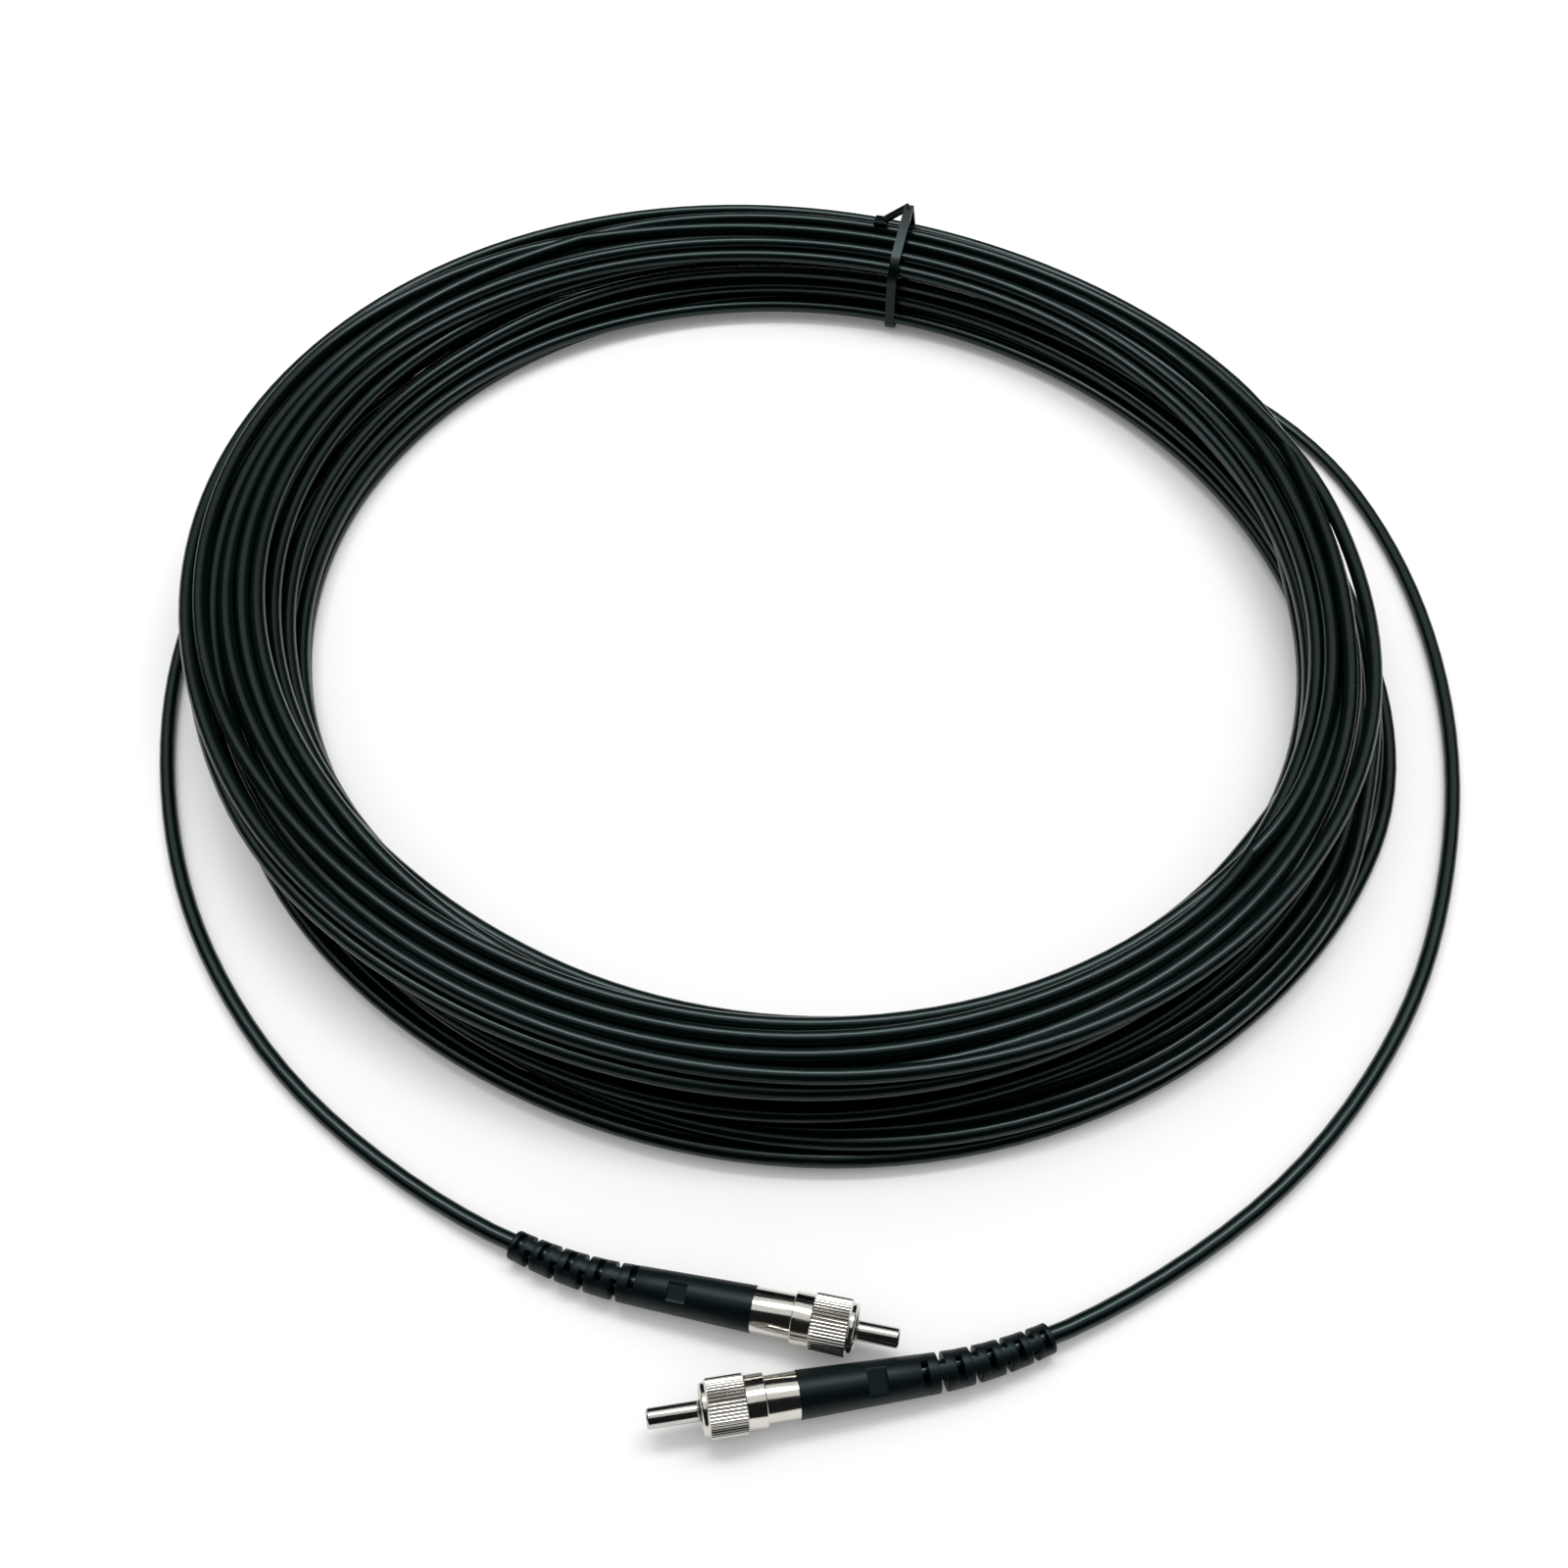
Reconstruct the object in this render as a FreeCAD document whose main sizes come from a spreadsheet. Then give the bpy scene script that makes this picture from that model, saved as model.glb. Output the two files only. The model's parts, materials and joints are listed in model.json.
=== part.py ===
import FreeCAD, Part
import math
import os

import Sketcher

# Fibre patch cord: one round cable, wound in a loose coil and tied, with a threaded ferrule connector on
# each end. Millimetres, +Z up, origin on the floor under the middle of the whole object.
# Connector a lies in front and its cable comes from the right; connector b lies behind it.
# Each connector has a frame of its own: X runs back along its axis from the ferrule's tip, and the boot
# bends towards Y.

SIZES = {
    # Cable
    "cable_dia": 3.0,
    "cable_inset": 8.0,
    "first_run": 23.0,
    "bend_share": 0.45,
    "boot_clearance": 0.05,
    # Ferrule and fibre
    "ferrule_dia": 3.175,
    "ferrule_length": 19.6,
    "shank_dia": 2.8,
    "ferrule_chamfer": 0.3,
    "seat_depth": 9.8,
    "fibre_dia": 0.6,
    "fibre_clearance": 0.02,
    "glue_line": 0.01,
    "buffer_dia": 0.96,
    # Connector body
    "body_length": 13.8,
    "flange_dia": 5.3,
    "flange_thickness": 1.2,
    "neck_dia": 4.6,
    "neck_length": 4.3,
    "barrel_dia": 7.2,
    "barrel_chamfer": 0.25,
    "spigot_dia": 5.7,
    "spigot_length": 5.0,
    "stem_dia": 2.9,
    # Coupling nut
    "nut_dia": 9.0,
    "nut_knurl_length": 6.0,
    "nut_nose_length": 1.0,
    "nut_nose_dia": 7.8,
    "nut_skirt_dia": 8.3,
    "nut_skirt_length": 3.1,
    "thread_minor_dia": 5.7,
    "thread_length": 5.0,
    "thread_chamfer": 0.4,
    "knurl_teeth": 48,
    "knurl_depth": 0.22,
    "knurl_land": 0.12,
    "knurl_overcut": 0.03,
    "nut_web": 0.7,
    "skirt_clearance": 0.04,
    # Retaining ring
    "ring_dia": 6.5,
    "ring_thickness": 0.6,
    "ring_clearance": 0.05,
    "ring_a_slide": 2.45,
    "ring_b_slide": 1.05,
    # Crimp sleeve
    "crimp_dia": 4.4,
    "crimp_length": 8.8,
    "crimp_gap": 0.2,
    # Boot
    "boot_length": 41.3,
    "boot_front_dia": 7.4,
    "boot_shoulder_dia": 6.4,
    "boot_end_dia": 4.9,
    "boot_lip": 0.3,
    "slot_stations": 9,
    "slot_width": 0.9,
    "slot_first": 19.9,
    "slot_crowding": 0.15,
    "end_ring": 0.8,
    "rib_arc": 58.0,
    "rib_bite": 0.5,
    "rib_setback": 0.12,
    "pad_length": 3.1,
    "pad_width": 4.0,
    "pad_depth": 0.12,
    "pad_station": 12.3,
    "slots_a_roll": 20.0,
    "slots_b_roll": 205.0,
    "pad_a_roll": 20.0,
    "pad_b_roll": 160.0,
    # Where the connectors lie
    "rest_gap": 0.1,
    "rest_tilt": 2.2,
    "tip_a_x": -26.0,
    "tip_a_y": -150.7,
    "heading_a": 9.6,
    "tip_b_x": 13.3,
    "tip_b_y": -138.3,
    "heading_b": 167.6,
    # Coil: an oval ring of turns, longest along one heading and broadest where the turns spread
    "coil_x": -4.93,
    "coil_y": 21.6,
    "coil_radius": 116.9,
    "coil_stretch": 4.6,
    "stretch_heading": 122.5,
    "bundle_width": 23.0,
    "width_stretch": 3.35,
    "width_spread": 5.0,
    "spread_heading": 166.0,
    "bundle_height": 20.5,
    "coil_foot": 2.0,
    "coil_corner": 6.5,
    "coil_trim": 0.4,
    "coil_stations": 30,
    # Cable tie
    "tie_heading": 75.2,
    "strap_width": 2.5,
    "strap_thickness": 1.0,
    "strap_lift": 1.2,
    "lift_arc": 30.0,
    "apex_out": 6.5,
    "apex_rise": 4.5,
    "head_length": 3.4,
    "head_width": 3.6,
    "head_height": 2.6,
    "head_offset": 6.5,
}

# The cord's route on the floor, from the first bend in each boot to the coil, as (x, y, z)
ROUTE_A = [
    (55.1, -129.0, 1.5),
    (83.4, -109.1, 1.5),
    (106.3, -82.1, 1.5),
    (120.5, -54.8, 1.5),
    (131.3, -20.6, 1.5),
    (135.0, 14.3, 1.5),
    (132.2, 46.7, 1.5),
    (123.3, 75.9, 1.5),
    (103.4, 101.9, 1.5),
    (75.9, 118.7, 1.7),
    (49.2, 132.5, 2.3),
]
ROUTE_B = [
    (-66.5, -112.7, 1.5),
    (-92.4, -92.2, 1.5),
    (-111.5, -67.5, 1.5),
    (-124.1, -41.8, 1.5),
    (-132.6, -10.7, 1.5),
    (-135.0, 18.6, 1.5),
    (-130.7, 47.6, 2.4),
]

doc = FreeCAD.newDocument("patch_cord")
sheet = doc.addObject("Spreadsheet::Sheet", "Sizes")
for row, (alias, number) in enumerate(SIZES.items(), start=1):
    sheet.set(f"A{row}", alias)
    sheet.set(f"B{row}", str(number))
    sheet.setAlias(f"B{row}", alias)
doc.recompute()


def size(alias):
    return float(sheet.get(alias))


def value(expression):
    return float(sheet.evalExpression(expression))


def vector(x, y, z=0.0):
    return FreeCAD.Vector(x, y, z)


def moved(x, y, z):
    return FreeCAD.Placement(vector(x, y, z), FreeCAD.Rotation())


def rolled(degrees):
    """A turn about X."""
    return FreeCAD.Placement(vector(0, 0, 0), FreeCAD.Rotation(vector(1, 0, 0), degrees))


# Shared ways of making a piece


def origin_feature(body, role):
    return next(feature for feature in body.Origin.OriginFeatures if feature.Role == role)


def outline_sketch(body, label, plane, corners):
    """A closed outline of straight lines, each corner held by a pair of expressions."""
    sketch = body.newObject("Sketcher::SketchObject", label)
    sketch.AttachmentSupport = (origin_feature(body, plane), [""])
    sketch.MapMode = "FlatFace"
    count = len(corners)
    step = 2 * math.pi / count
    ring = [vector(math.cos(step * k), math.sin(step * k)) for k in range(count)]
    for k in range(count):
        sketch.addGeometry(Part.LineSegment(ring[k], ring[(k + 1) % count]), False)
    for k in range(count):
        sketch.addConstraint(Sketcher.Constraint("Coincident", k, 2, (k + 1) % count, 1))
    for k, (along, out) in enumerate(corners):
        for kind, name, expression in (("DistanceX", "along", along), ("DistanceY", "out", out)):
            index = sketch.addConstraint(Sketcher.Constraint(kind, -1, 1, k, 1, 1.0))
            sketch.renameConstraint(index, f"{name}{k}")
            sketch.setExpression(f"Constraints.{name}{k}", expression)
    return sketch


def turned_body(label, profile, arc="360"):
    """A piece turned about X from a profile of (station, radius) expressions."""
    body = doc.addObject("PartDesign::Body", label)
    sketch = outline_sketch(body, f"{label}_profile", "XY_Plane", profile)
    turning = body.newObject("PartDesign::Revolution", f"{label}_turned")
    turning.Profile = sketch
    turning.ReferenceAxis = (origin_feature(body, "X_Axis"), [""])
    turning.setExpression("Angle", arc)
    return body


def bound(kind, label, **expressions):
    """A primitive whose sizes follow the sheet."""
    piece = doc.addObject(kind, label)
    for name, expression in expressions.items():
        piece.setExpression(name, expression)
    return piece


# Where the connectors and the cord lie


BOOT_FRONT = "Sizes.seat_depth + Sizes.body_length"
CABLE_START = f"{BOOT_FRONT} + Sizes.cable_inset"
RING_FRONT = "Sizes.thread_length + Sizes.ring_clearance"


def nut_reach(end):
    """The distance from the ferrule's tip to the nut, whose ring stands some way behind the flange."""
    return f"Sizes.seat_depth + Sizes.flange_thickness + Sizes.ring_{end}_slide - ({RING_FRONT})"


def connector_place(end, route):
    """The connector's frame, the first two points of its cord and the angle of its first bend."""
    tilt = math.radians(size("rest_tilt"))
    heading = math.radians(size(f"heading_{end}"))
    foot = value(f"{nut_reach(end)} + Sizes.nut_nose_length + Sizes.nut_knurl_length")
    tip_height = value("Sizes.nut_dia / 2 + Sizes.rest_gap") + foot * math.sin(tilt)
    tip = vector(size(f"tip_{end}_x"), size(f"tip_{end}_y"), tip_height)
    back = vector(
        math.cos(heading) * math.cos(tilt),
        math.sin(heading) * math.cos(tilt),
        -math.sin(tilt),
    )
    cable_start = tip + back * value(CABLE_START)
    bend = cable_start + back * size("first_run")
    onward = vector(*route[0]) - bend
    side = (onward - back * onward.dot(back)).normalize()
    turn = FreeCAD.Rotation(back, side, back.cross(side), "XYZ")
    return FreeCAD.Placement(tip, turn), [cable_start, bend], back.getAngle(onward)


def cord_edges(points):
    """Straight runs joined by arcs as large as the runs allow, with the arcs' radii."""
    edges, radii = [], []
    start = points[0]
    for before, corner, after in zip(points, points[1:], points[2:]):
        inward, outward = corner - before, after - corner
        half_turn = inward.getAngle(outward) / 2
        reach = size("bend_share") * min(inward.Length, outward.Length)
        radius = reach / math.tan(half_turn)
        first = corner - inward.normalize() * reach
        last = corner + outward.normalize() * reach
        towards = (first + last) * 0.5 - corner
        middle = corner + towards.normalize() * (radius / math.cos(half_turn) - radius)
        edges += [Part.LineSegment(start, first).toShape(), Part.Arc(first, middle, last).toShape()]
        radii.append(radius)
        start = last
    edges.append(Part.LineSegment(start, points[-1]).toShape())
    return edges, radii


# The pieces of one connector, each in the connector's frame


def ferrule(end):
    """Ground tube with a bevelled nose, stepped down to a shank that is bonded into the connector body."""
    nose = "Sizes.ferrule_dia / 2 - Sizes.ferrule_chamfer"
    bore = "Sizes.fibre_dia / 2 + Sizes.fibre_clearance"
    return turned_body(f"ferrule_{end}", [
        ("0", bore),
        ("0", nose),
        ("Sizes.ferrule_chamfer", "Sizes.ferrule_dia / 2"),
        ("Sizes.seat_depth", "Sizes.ferrule_dia / 2"),
        ("Sizes.seat_depth", "Sizes.shank_dia / 2"),
        ("Sizes.ferrule_length", "Sizes.shank_dia / 2"),
        ("Sizes.ferrule_length", bore),
    ])


def connector_body(end):
    seat = "Sizes.seat_depth"
    neck = f"{seat} + Sizes.flange_thickness"
    barrel = f"{neck} + Sizes.neck_length"
    rear = BOOT_FRONT
    spigot = f"{rear} + Sizes.spigot_length"
    stem = CABLE_START
    ferrule_bore = "Sizes.shank_dia / 2 + Sizes.glue_line"
    buffer_bore = "Sizes.buffer_dia / 2 + Sizes.fibre_clearance"
    return turned_body(f"connector_body_{end}", [
        (seat, ferrule_bore),
        (seat, "Sizes.flange_dia / 2"),
        (neck, "Sizes.flange_dia / 2"),
        (neck, "Sizes.neck_dia / 2"),
        (barrel, "Sizes.neck_dia / 2"),
        (barrel, "Sizes.barrel_dia / 2 - Sizes.barrel_chamfer"),
        (f"{barrel} + Sizes.barrel_chamfer", "Sizes.barrel_dia / 2"),
        (rear, "Sizes.barrel_dia / 2"),
        (rear, "Sizes.spigot_dia / 2"),
        (spigot, "Sizes.spigot_dia / 2"),
        (spigot, "Sizes.stem_dia / 2"),
        (stem, "Sizes.stem_dia / 2"),
        (stem, buffer_bore),
        ("Sizes.ferrule_length", buffer_bore),
        ("Sizes.ferrule_length", ferrule_bore),
    ])


def optical_fibre(end):
    fibre = bound(
        "Part::Cylinder",
        f"optical_fibre_{end}",
        Radius="Sizes.fibre_dia / 2",
        Height=CABLE_START,
    )
    return fibre, FreeCAD.Placement(vector(0, 0, 0), FreeCAD.Rotation(vector(0, 1, 0), 90))


def fibre_buffer(end):
    bore = "Sizes.fibre_dia / 2 + Sizes.fibre_clearance"
    return turned_body(f"fibre_buffer_{end}", [
        ("Sizes.ferrule_length", bore),
        ("Sizes.ferrule_length", "Sizes.buffer_dia / 2"),
        (CABLE_START, "Sizes.buffer_dia / 2"),
        (CABLE_START, bore),
    ])


def coupling_nut(end):
    """Knurled nut: thread in front, a groove for the ring behind it, then the skirt over the barrel."""
    knurl_end = "Sizes.nut_nose_length + Sizes.nut_knurl_length"
    rear = f"{knurl_end} + Sizes.nut_skirt_length"
    groove_end = "Sizes.thread_length + Sizes.ring_thickness + 2 * Sizes.ring_clearance"
    web_end = f"{groove_end} + Sizes.nut_web"
    thread = "Sizes.thread_minor_dia / 2"
    groove = "Sizes.ring_dia / 2 + Sizes.ring_clearance"
    skirt_bore = "Sizes.barrel_dia / 2 + Sizes.skirt_clearance"
    body = turned_body(f"coupling_nut_{end}", [
        ("0", f"{thread} + Sizes.thread_chamfer"),
        ("0", "Sizes.nut_nose_dia / 2"),
        ("Sizes.nut_nose_length", "Sizes.nut_dia / 2 - Sizes.knurl_depth"),
        ("Sizes.nut_nose_length", "Sizes.nut_dia / 2"),
        (knurl_end, "Sizes.nut_dia / 2"),
        (knurl_end, "Sizes.nut_skirt_dia / 2"),
        (rear, "Sizes.nut_skirt_dia / 2"),
        (rear, skirt_bore),
        (web_end, skirt_bore),
        (web_end, thread),
        (groove_end, thread),
        (groove_end, groove),
        ("Sizes.thread_length", groove),
        ("Sizes.thread_length", thread),
        ("Sizes.thread_chamfer", thread),
    ])
    half_groove = "Sizes.nut_dia / 2 * sin(180deg / Sizes.knurl_teeth) - Sizes.knurl_land / 2"
    notch = outline_sketch(body, f"knurl_notch_{end}", "YZ_Plane", [
        ("0", "Sizes.nut_dia / 2 - Sizes.knurl_depth"),
        (half_groove, "Sizes.nut_dia / 2 + Sizes.knurl_overcut"),
        (f"-({half_groove})", "Sizes.nut_dia / 2 + Sizes.knurl_overcut"),
    ])
    notch.setExpression("AttachmentOffset.Base.z", "Sizes.nut_nose_length")
    groove_cut = body.newObject("PartDesign::Pocket", f"knurl_cut_{end}")
    groove_cut.Profile = notch
    groove_cut.setExpression("Length", "Sizes.nut_knurl_length")
    groove_cut.Reversed = True
    knurl = body.newObject("PartDesign::PolarPattern", f"knurl_{end}")
    knurl.Originals = [groove_cut]
    knurl.Axis = (origin_feature(body, "X_Axis"), [""])
    knurl.Angle = 360.0
    knurl.setExpression("Occurrences", "Sizes.knurl_teeth")
    body.Tip = knurl
    return body


def retaining_ring(end):
    rear = f"{RING_FRONT} + Sizes.ring_thickness"
    bore = "Sizes.neck_dia / 2 + Sizes.ring_clearance"
    return turned_body(f"retaining_ring_{end}", [
        (RING_FRONT, bore),
        (RING_FRONT, "Sizes.ring_dia / 2"),
        (rear, "Sizes.ring_dia / 2"),
        (rear, bore),
    ])


def crimp_sleeve(end):
    front = f"{BOOT_FRONT} + Sizes.spigot_length + Sizes.crimp_gap"
    bore = "Sizes.cable_dia / 2 + Sizes.boot_clearance"
    return turned_body(f"crimp_sleeve_{end}", [
        (front, bore),
        (front, "Sizes.crimp_dia / 2"),
        (f"{front} + Sizes.crimp_length", "Sizes.crimp_dia / 2"),
        (f"{front} + Sizes.crimp_length", bore),
    ])


def boot(end, bend_angle):
    """Straight grip over the spigot and crimp, then rings and ribs that bend with the cord's first arc."""
    grip_length = "(Sizes.slot_first - Sizes.slot_width / 2)"
    slot_last = "(Sizes.boot_length - Sizes.end_ring - Sizes.slot_width / 2)"
    cable_bore = "Sizes.cable_dia / 2 + Sizes.boot_clearance"

    def slot(k):
        """The distance from the boot's front to a slot: the slots crowd towards the thin end."""
        share = f"({k} / (Sizes.slot_stations - 1))"
        crowded = f"{share} * (1 + Sizes.slot_crowding * (1 - {share}))"
        return f"(Sizes.slot_first + ({slot_last} - Sizes.slot_first) * {crowded})"

    def skin(distance):
        """The tail's outer radius at a distance from the boot's front."""
        share = f"({distance} - {grip_length}) / (Sizes.boot_length - {grip_length})"
        return f"(Sizes.boot_shoulder_dia + (Sizes.boot_end_dia - Sizes.boot_shoulder_dia) * {share}) / 2"

    bend_start = value("Sizes.cable_inset + Sizes.first_run * (1 - Sizes.bend_share)")
    bend_radius = value("Sizes.bend_share * Sizes.first_run") / math.tan(bend_angle / 2)

    def station(distance):
        """The place on the boot's centre line at a distance from its front, X along the line."""
        past = distance - bend_start
        angle = min(max(past / bend_radius, 0.0), bend_angle)
        straight = past - angle * bend_radius
        centre = vector(
            value(BOOT_FRONT) + bend_start + bend_radius * math.sin(angle) + straight * math.cos(angle),
            bend_radius * (1 - math.cos(angle)) + straight * math.sin(angle),
        )
        return FreeCAD.Placement(centre, FreeCAD.Rotation(vector(0, 0, 1), math.degrees(angle)))

    spigot_bore = "Sizes.spigot_dia / 2 + Sizes.boot_clearance"
    spigot_end = f"{BOOT_FRONT} + Sizes.spigot_length"
    crimp_bore = "Sizes.crimp_dia / 2 + Sizes.boot_clearance"
    crimp_end = f"{spigot_end} + 2 * Sizes.crimp_gap + Sizes.crimp_length"
    grip_end = f"{BOOT_FRONT} + {grip_length}"
    grip = turned_body(f"boot_grip_{end}", [
        (BOOT_FRONT, spigot_bore),
        (BOOT_FRONT, "Sizes.boot_front_dia / 2"),
        (f"{BOOT_FRONT} + Sizes.boot_lip", "Sizes.boot_front_dia / 2"),
        (grip_end, "Sizes.boot_shoulder_dia / 2"),
        (grip_end, cable_bore),
        (crimp_end, cable_bore),
        (crimp_end, crimp_bore),
        (spigot_end, crimp_bore),
        (spigot_end, spigot_bore),
    ])

    pad_share = f"(Sizes.pad_station - Sizes.boot_lip) / ({grip_length} - Sizes.boot_lip)"
    pad_taper = f"(Sizes.boot_shoulder_dia - Sizes.boot_front_dia) * {pad_share}"
    pad_skin = value(f"(Sizes.boot_front_dia + {pad_taper}) / 2")
    pad_floor = math.sqrt(pad_skin ** 2 - value("Sizes.pad_width / 2") ** 2) - size("pad_depth")
    pad = bound("Part::Box", f"pad_{end}", Length="Sizes.pad_length", Width="Sizes.pad_width",
                Height="Sizes.boot_front_dia / 2")
    pad_corner = moved(-value("Sizes.pad_length / 2"), -value("Sizes.pad_width / 2"), pad_floor)
    pad.Placement = station(size("pad_station")) * rolled(size(f"pad_{end}_roll")) * pad_corner
    padded_grip = doc.addObject("Part::Cut", f"boot_padded_{end}")
    padded_grip.Base = grip
    padded_grip.Tool = pad

    pieces = [padded_grip]
    stations = int(size("slot_stations"))
    for k in range(stations):
        ring_front = f"({slot(k)} + Sizes.slot_width / 2)"
        ring_rear = f"({slot(k + 1)} - Sizes.slot_width / 2)" if k + 1 < stations else "Sizes.boot_length"
        half_ring = f"({ring_rear} - {ring_front}) / 2"
        ring_middle = f"({ring_front} + {ring_rear}) / 2"
        ring = turned_body(f"boot_ring_{end}_{k}", [
            (f"-{half_ring}", cable_bore),
            (f"-{half_ring}", skin(ring_middle)),
            (half_ring, skin(ring_middle)),
            (half_ring, cable_bore),
        ])
        ring.Placement = station(value(ring_middle))
        pieces.append(ring)
        half_rib = "(Sizes.slot_width / 2 + Sizes.rib_bite)"
        rib_top = f"{skin(slot(k))} - Sizes.rib_setback"
        for side in (0, 180):
            rib = turned_body(f"boot_rib_{end}_{k}_{side}", [
                (f"-{half_rib}", f"{cable_bore} + Sizes.rib_setback"),
                (f"-{half_rib}", rib_top),
                (half_rib, rib_top),
                (half_rib, f"{cable_bore} + Sizes.rib_setback"),
            ], "Sizes.rib_arc")
            turn = size(f"slots_{end}_roll") + side + 90 * (k % 2) - value("Sizes.rib_arc / 2")
            rib.Placement = station(value(slot(k))) * rolled(turn)
            pieces.append(rib)
    moulding = doc.addObject("Part::MultiFuse", f"boot_{end}")
    moulding.Shapes = pieces
    return moulding


# The coil and its tie


def coil_radius(heading):
    """The mean radius of the turns, largest along the stretch."""
    along = 2 * (heading - math.radians(size("stretch_heading")))
    return size("coil_radius") + size("coil_stretch") * math.cos(along)


def bundle_width(heading):
    """The width of the turns side by side."""
    along = 2 * (heading - math.radians(size("stretch_heading")))
    spread = heading - math.radians(size("spread_heading"))
    return (
        size("bundle_width")
        + size("width_stretch") * math.cos(along)
        + size("width_spread") * math.cos(spread)
    )


def coil_place(heading):
    """The place on the floor under the bundle, X outwards and Y along the turns."""
    radius = coil_radius(heading)
    foot = vector(size("coil_x") + radius * math.cos(heading), size("coil_y") + radius * math.sin(heading))
    return FreeCAD.Placement(foot, FreeCAD.Rotation(vector(0, 0, 1), math.degrees(heading)))


def rounded(corner, inward, radius):
    """An arc round a corner in the XZ plane, as its end on the level side, its middle and its upright end."""
    centre = corner + inward * radius
    middle = centre - inward * (radius * math.sqrt(0.5))
    return vector(centre.x, 0, corner.z), middle, vector(corner.x, 0, centre.z)


def bundle_outline(width, bottom, top):
    """A block in the XZ plane with rounded corners, from the middle of its floor side round to it again."""
    half = width / 2
    foot, corner = size("coil_foot"), size("coil_corner")
    arcs = [
        rounded(vector(half, 0, bottom), vector(-1, 0, 1), foot),
        rounded(vector(half, 0, top), vector(-1, 0, -1), corner)[::-1],
        rounded(vector(-half, 0, top), vector(1, 0, -1), corner),
        rounded(vector(-half, 0, bottom), vector(1, 0, 1), foot)[::-1],
    ]
    edges = []
    start = seam = vector(0, 0, bottom)
    for first, middle, last in arcs:
        edges += [Part.LineSegment(start, first), Part.Arc(first, middle, last)]
        start = last
    edges.append(Part.LineSegment(start, seam))
    return Part.Wire([edge.toShape() for edge in edges])


def coil():
    """The outer shape of all the turns: lifted on the strap at the tie, flat on the floor elsewhere."""
    sections = []
    count = int(size("coil_stations"))
    for k in range(count):
        past_tie = 2 * math.pi * k / count
        heading = math.radians(size("tie_heading")) + past_tie
        from_tie = math.degrees(math.acos(math.cos(past_tie)))
        lift = size("strap_lift") * max(0.0, 1 - from_tie / size("lift_arc"))
        bottom = lift if lift > 0 else -size("coil_trim")
        section = doc.addObject("Part::Feature", f"coil_section_{k}")
        section.Shape = bundle_outline(bundle_width(heading), bottom, size("bundle_height"))
        section.Placement = coil_place(heading)
        sections.append(section)
    ring = doc.addObject("Part::Loft", "coil_ring")
    ring.Sections = sections
    ring.Solid = True
    ring.Closed = True
    ring.Ruled = True
    reach = value("Sizes.coil_radius + Sizes.coil_stretch + Sizes.bundle_width")
    under = bound("Part::Box", "under_floor", Height="Sizes.coil_corner")
    under.Length = under.Width = 2 * reach
    under.Placement = moved(size("coil_x") - reach, size("coil_y") - reach, -size("coil_corner"))
    flat = doc.addObject("Part::Cut", "coil")
    flat.Base = ring
    flat.Tool = under
    return flat


def cable_tie():
    """A narrow strap round the bundle, pulled up to a peak, with its head beside the peak."""
    heading = math.radians(size("tie_heading"))
    half = bundle_width(heading) / 2
    corner = size("coil_corner")
    bottom, top = size("strap_lift"), size("bundle_height")
    apex = vector(size("apex_out"), 0, top + size("apex_rise"))
    out_foot = rounded(vector(half, 0, bottom), vector(-1, 0, 1), size("coil_foot"))
    in_foot = rounded(vector(-half, 0, bottom), vector(1, 0, 1), size("coil_foot"))

    def leave(side):
        """Where the strap leaves the bundle's top corner for the peak, and a point of the arc before it."""
        centre = vector(side * (half - corner), 0, top - corner)
        to_apex = apex - centre
        lean = math.atan2(to_apex.z, to_apex.x) - side * math.acos(corner / to_apex.Length)
        start = 0.0 if side > 0 else math.pi
        middle = (lean + start) / 2
        return [centre + vector(math.cos(a), 0, math.sin(a)) * corner for a in (middle, lean)]

    out_mid, out_leave = leave(1)
    in_mid, in_leave = leave(-1)
    out_wall = vector(half, 0, top - corner)
    in_wall = vector(-half, 0, top - corner)
    loop = Part.Wire([edge.toShape() for edge in [
        Part.LineSegment(in_foot[0], out_foot[0]),
        Part.Arc(*out_foot),
        Part.LineSegment(out_foot[-1], out_wall),
        Part.Arc(out_wall, out_mid, out_leave),
        Part.LineSegment(out_leave, apex),
        Part.LineSegment(apex, in_leave),
        Part.Arc(in_leave, in_mid, in_wall),
        Part.LineSegment(in_wall, in_foot[-1]),
        Part.Arc(*in_foot[::-1]),
    ]])
    outer = loop.makeOffset2D(size("strap_thickness"))
    band = doc.addObject("Part::Feature", "strap")
    band.Shape = Part.Face(outer).cut(Part.Face(loop)).extrude(vector(0, size("strap_width"), 0))
    band.Placement.Base = vector(0, -size("strap_width") / 2, 0)

    head = bound("Part::Box", "tie_head", Length="Sizes.head_width", Width="Sizes.head_length",
                 Height="Sizes.head_height")
    head_foot = vector(size("apex_out"), size("head_offset"), top)
    head.Placement.Base = head_foot - vector(size("head_width") / 2, size("head_length") / 2, 0)
    peak = apex + vector(0, 0, size("strap_thickness") / 2)
    fall = head_foot + vector(0, 0, size("head_height") / 2) - peak
    tongue = bound("Part::Box", "tie_tongue", Length="Sizes.strap_width", Height="Sizes.strap_thickness")
    tongue.Width = fall.Length
    lean = FreeCAD.Rotation(vector(1, 0, 0), math.degrees(math.atan2(fall.z, fall.y)))
    edge = vector(-size("strap_width") / 2, 0, -size("strap_thickness") / 2)
    tongue.Placement = FreeCAD.Placement(peak, lean).multiply(FreeCAD.Placement(edge, FreeCAD.Rotation()))
    tie = doc.addObject("Part::MultiFuse", "cable_tie")
    tie.Shapes = [band, head, tongue]
    tie.Placement = coil_place(heading)
    return tie


# Building and placing


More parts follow.
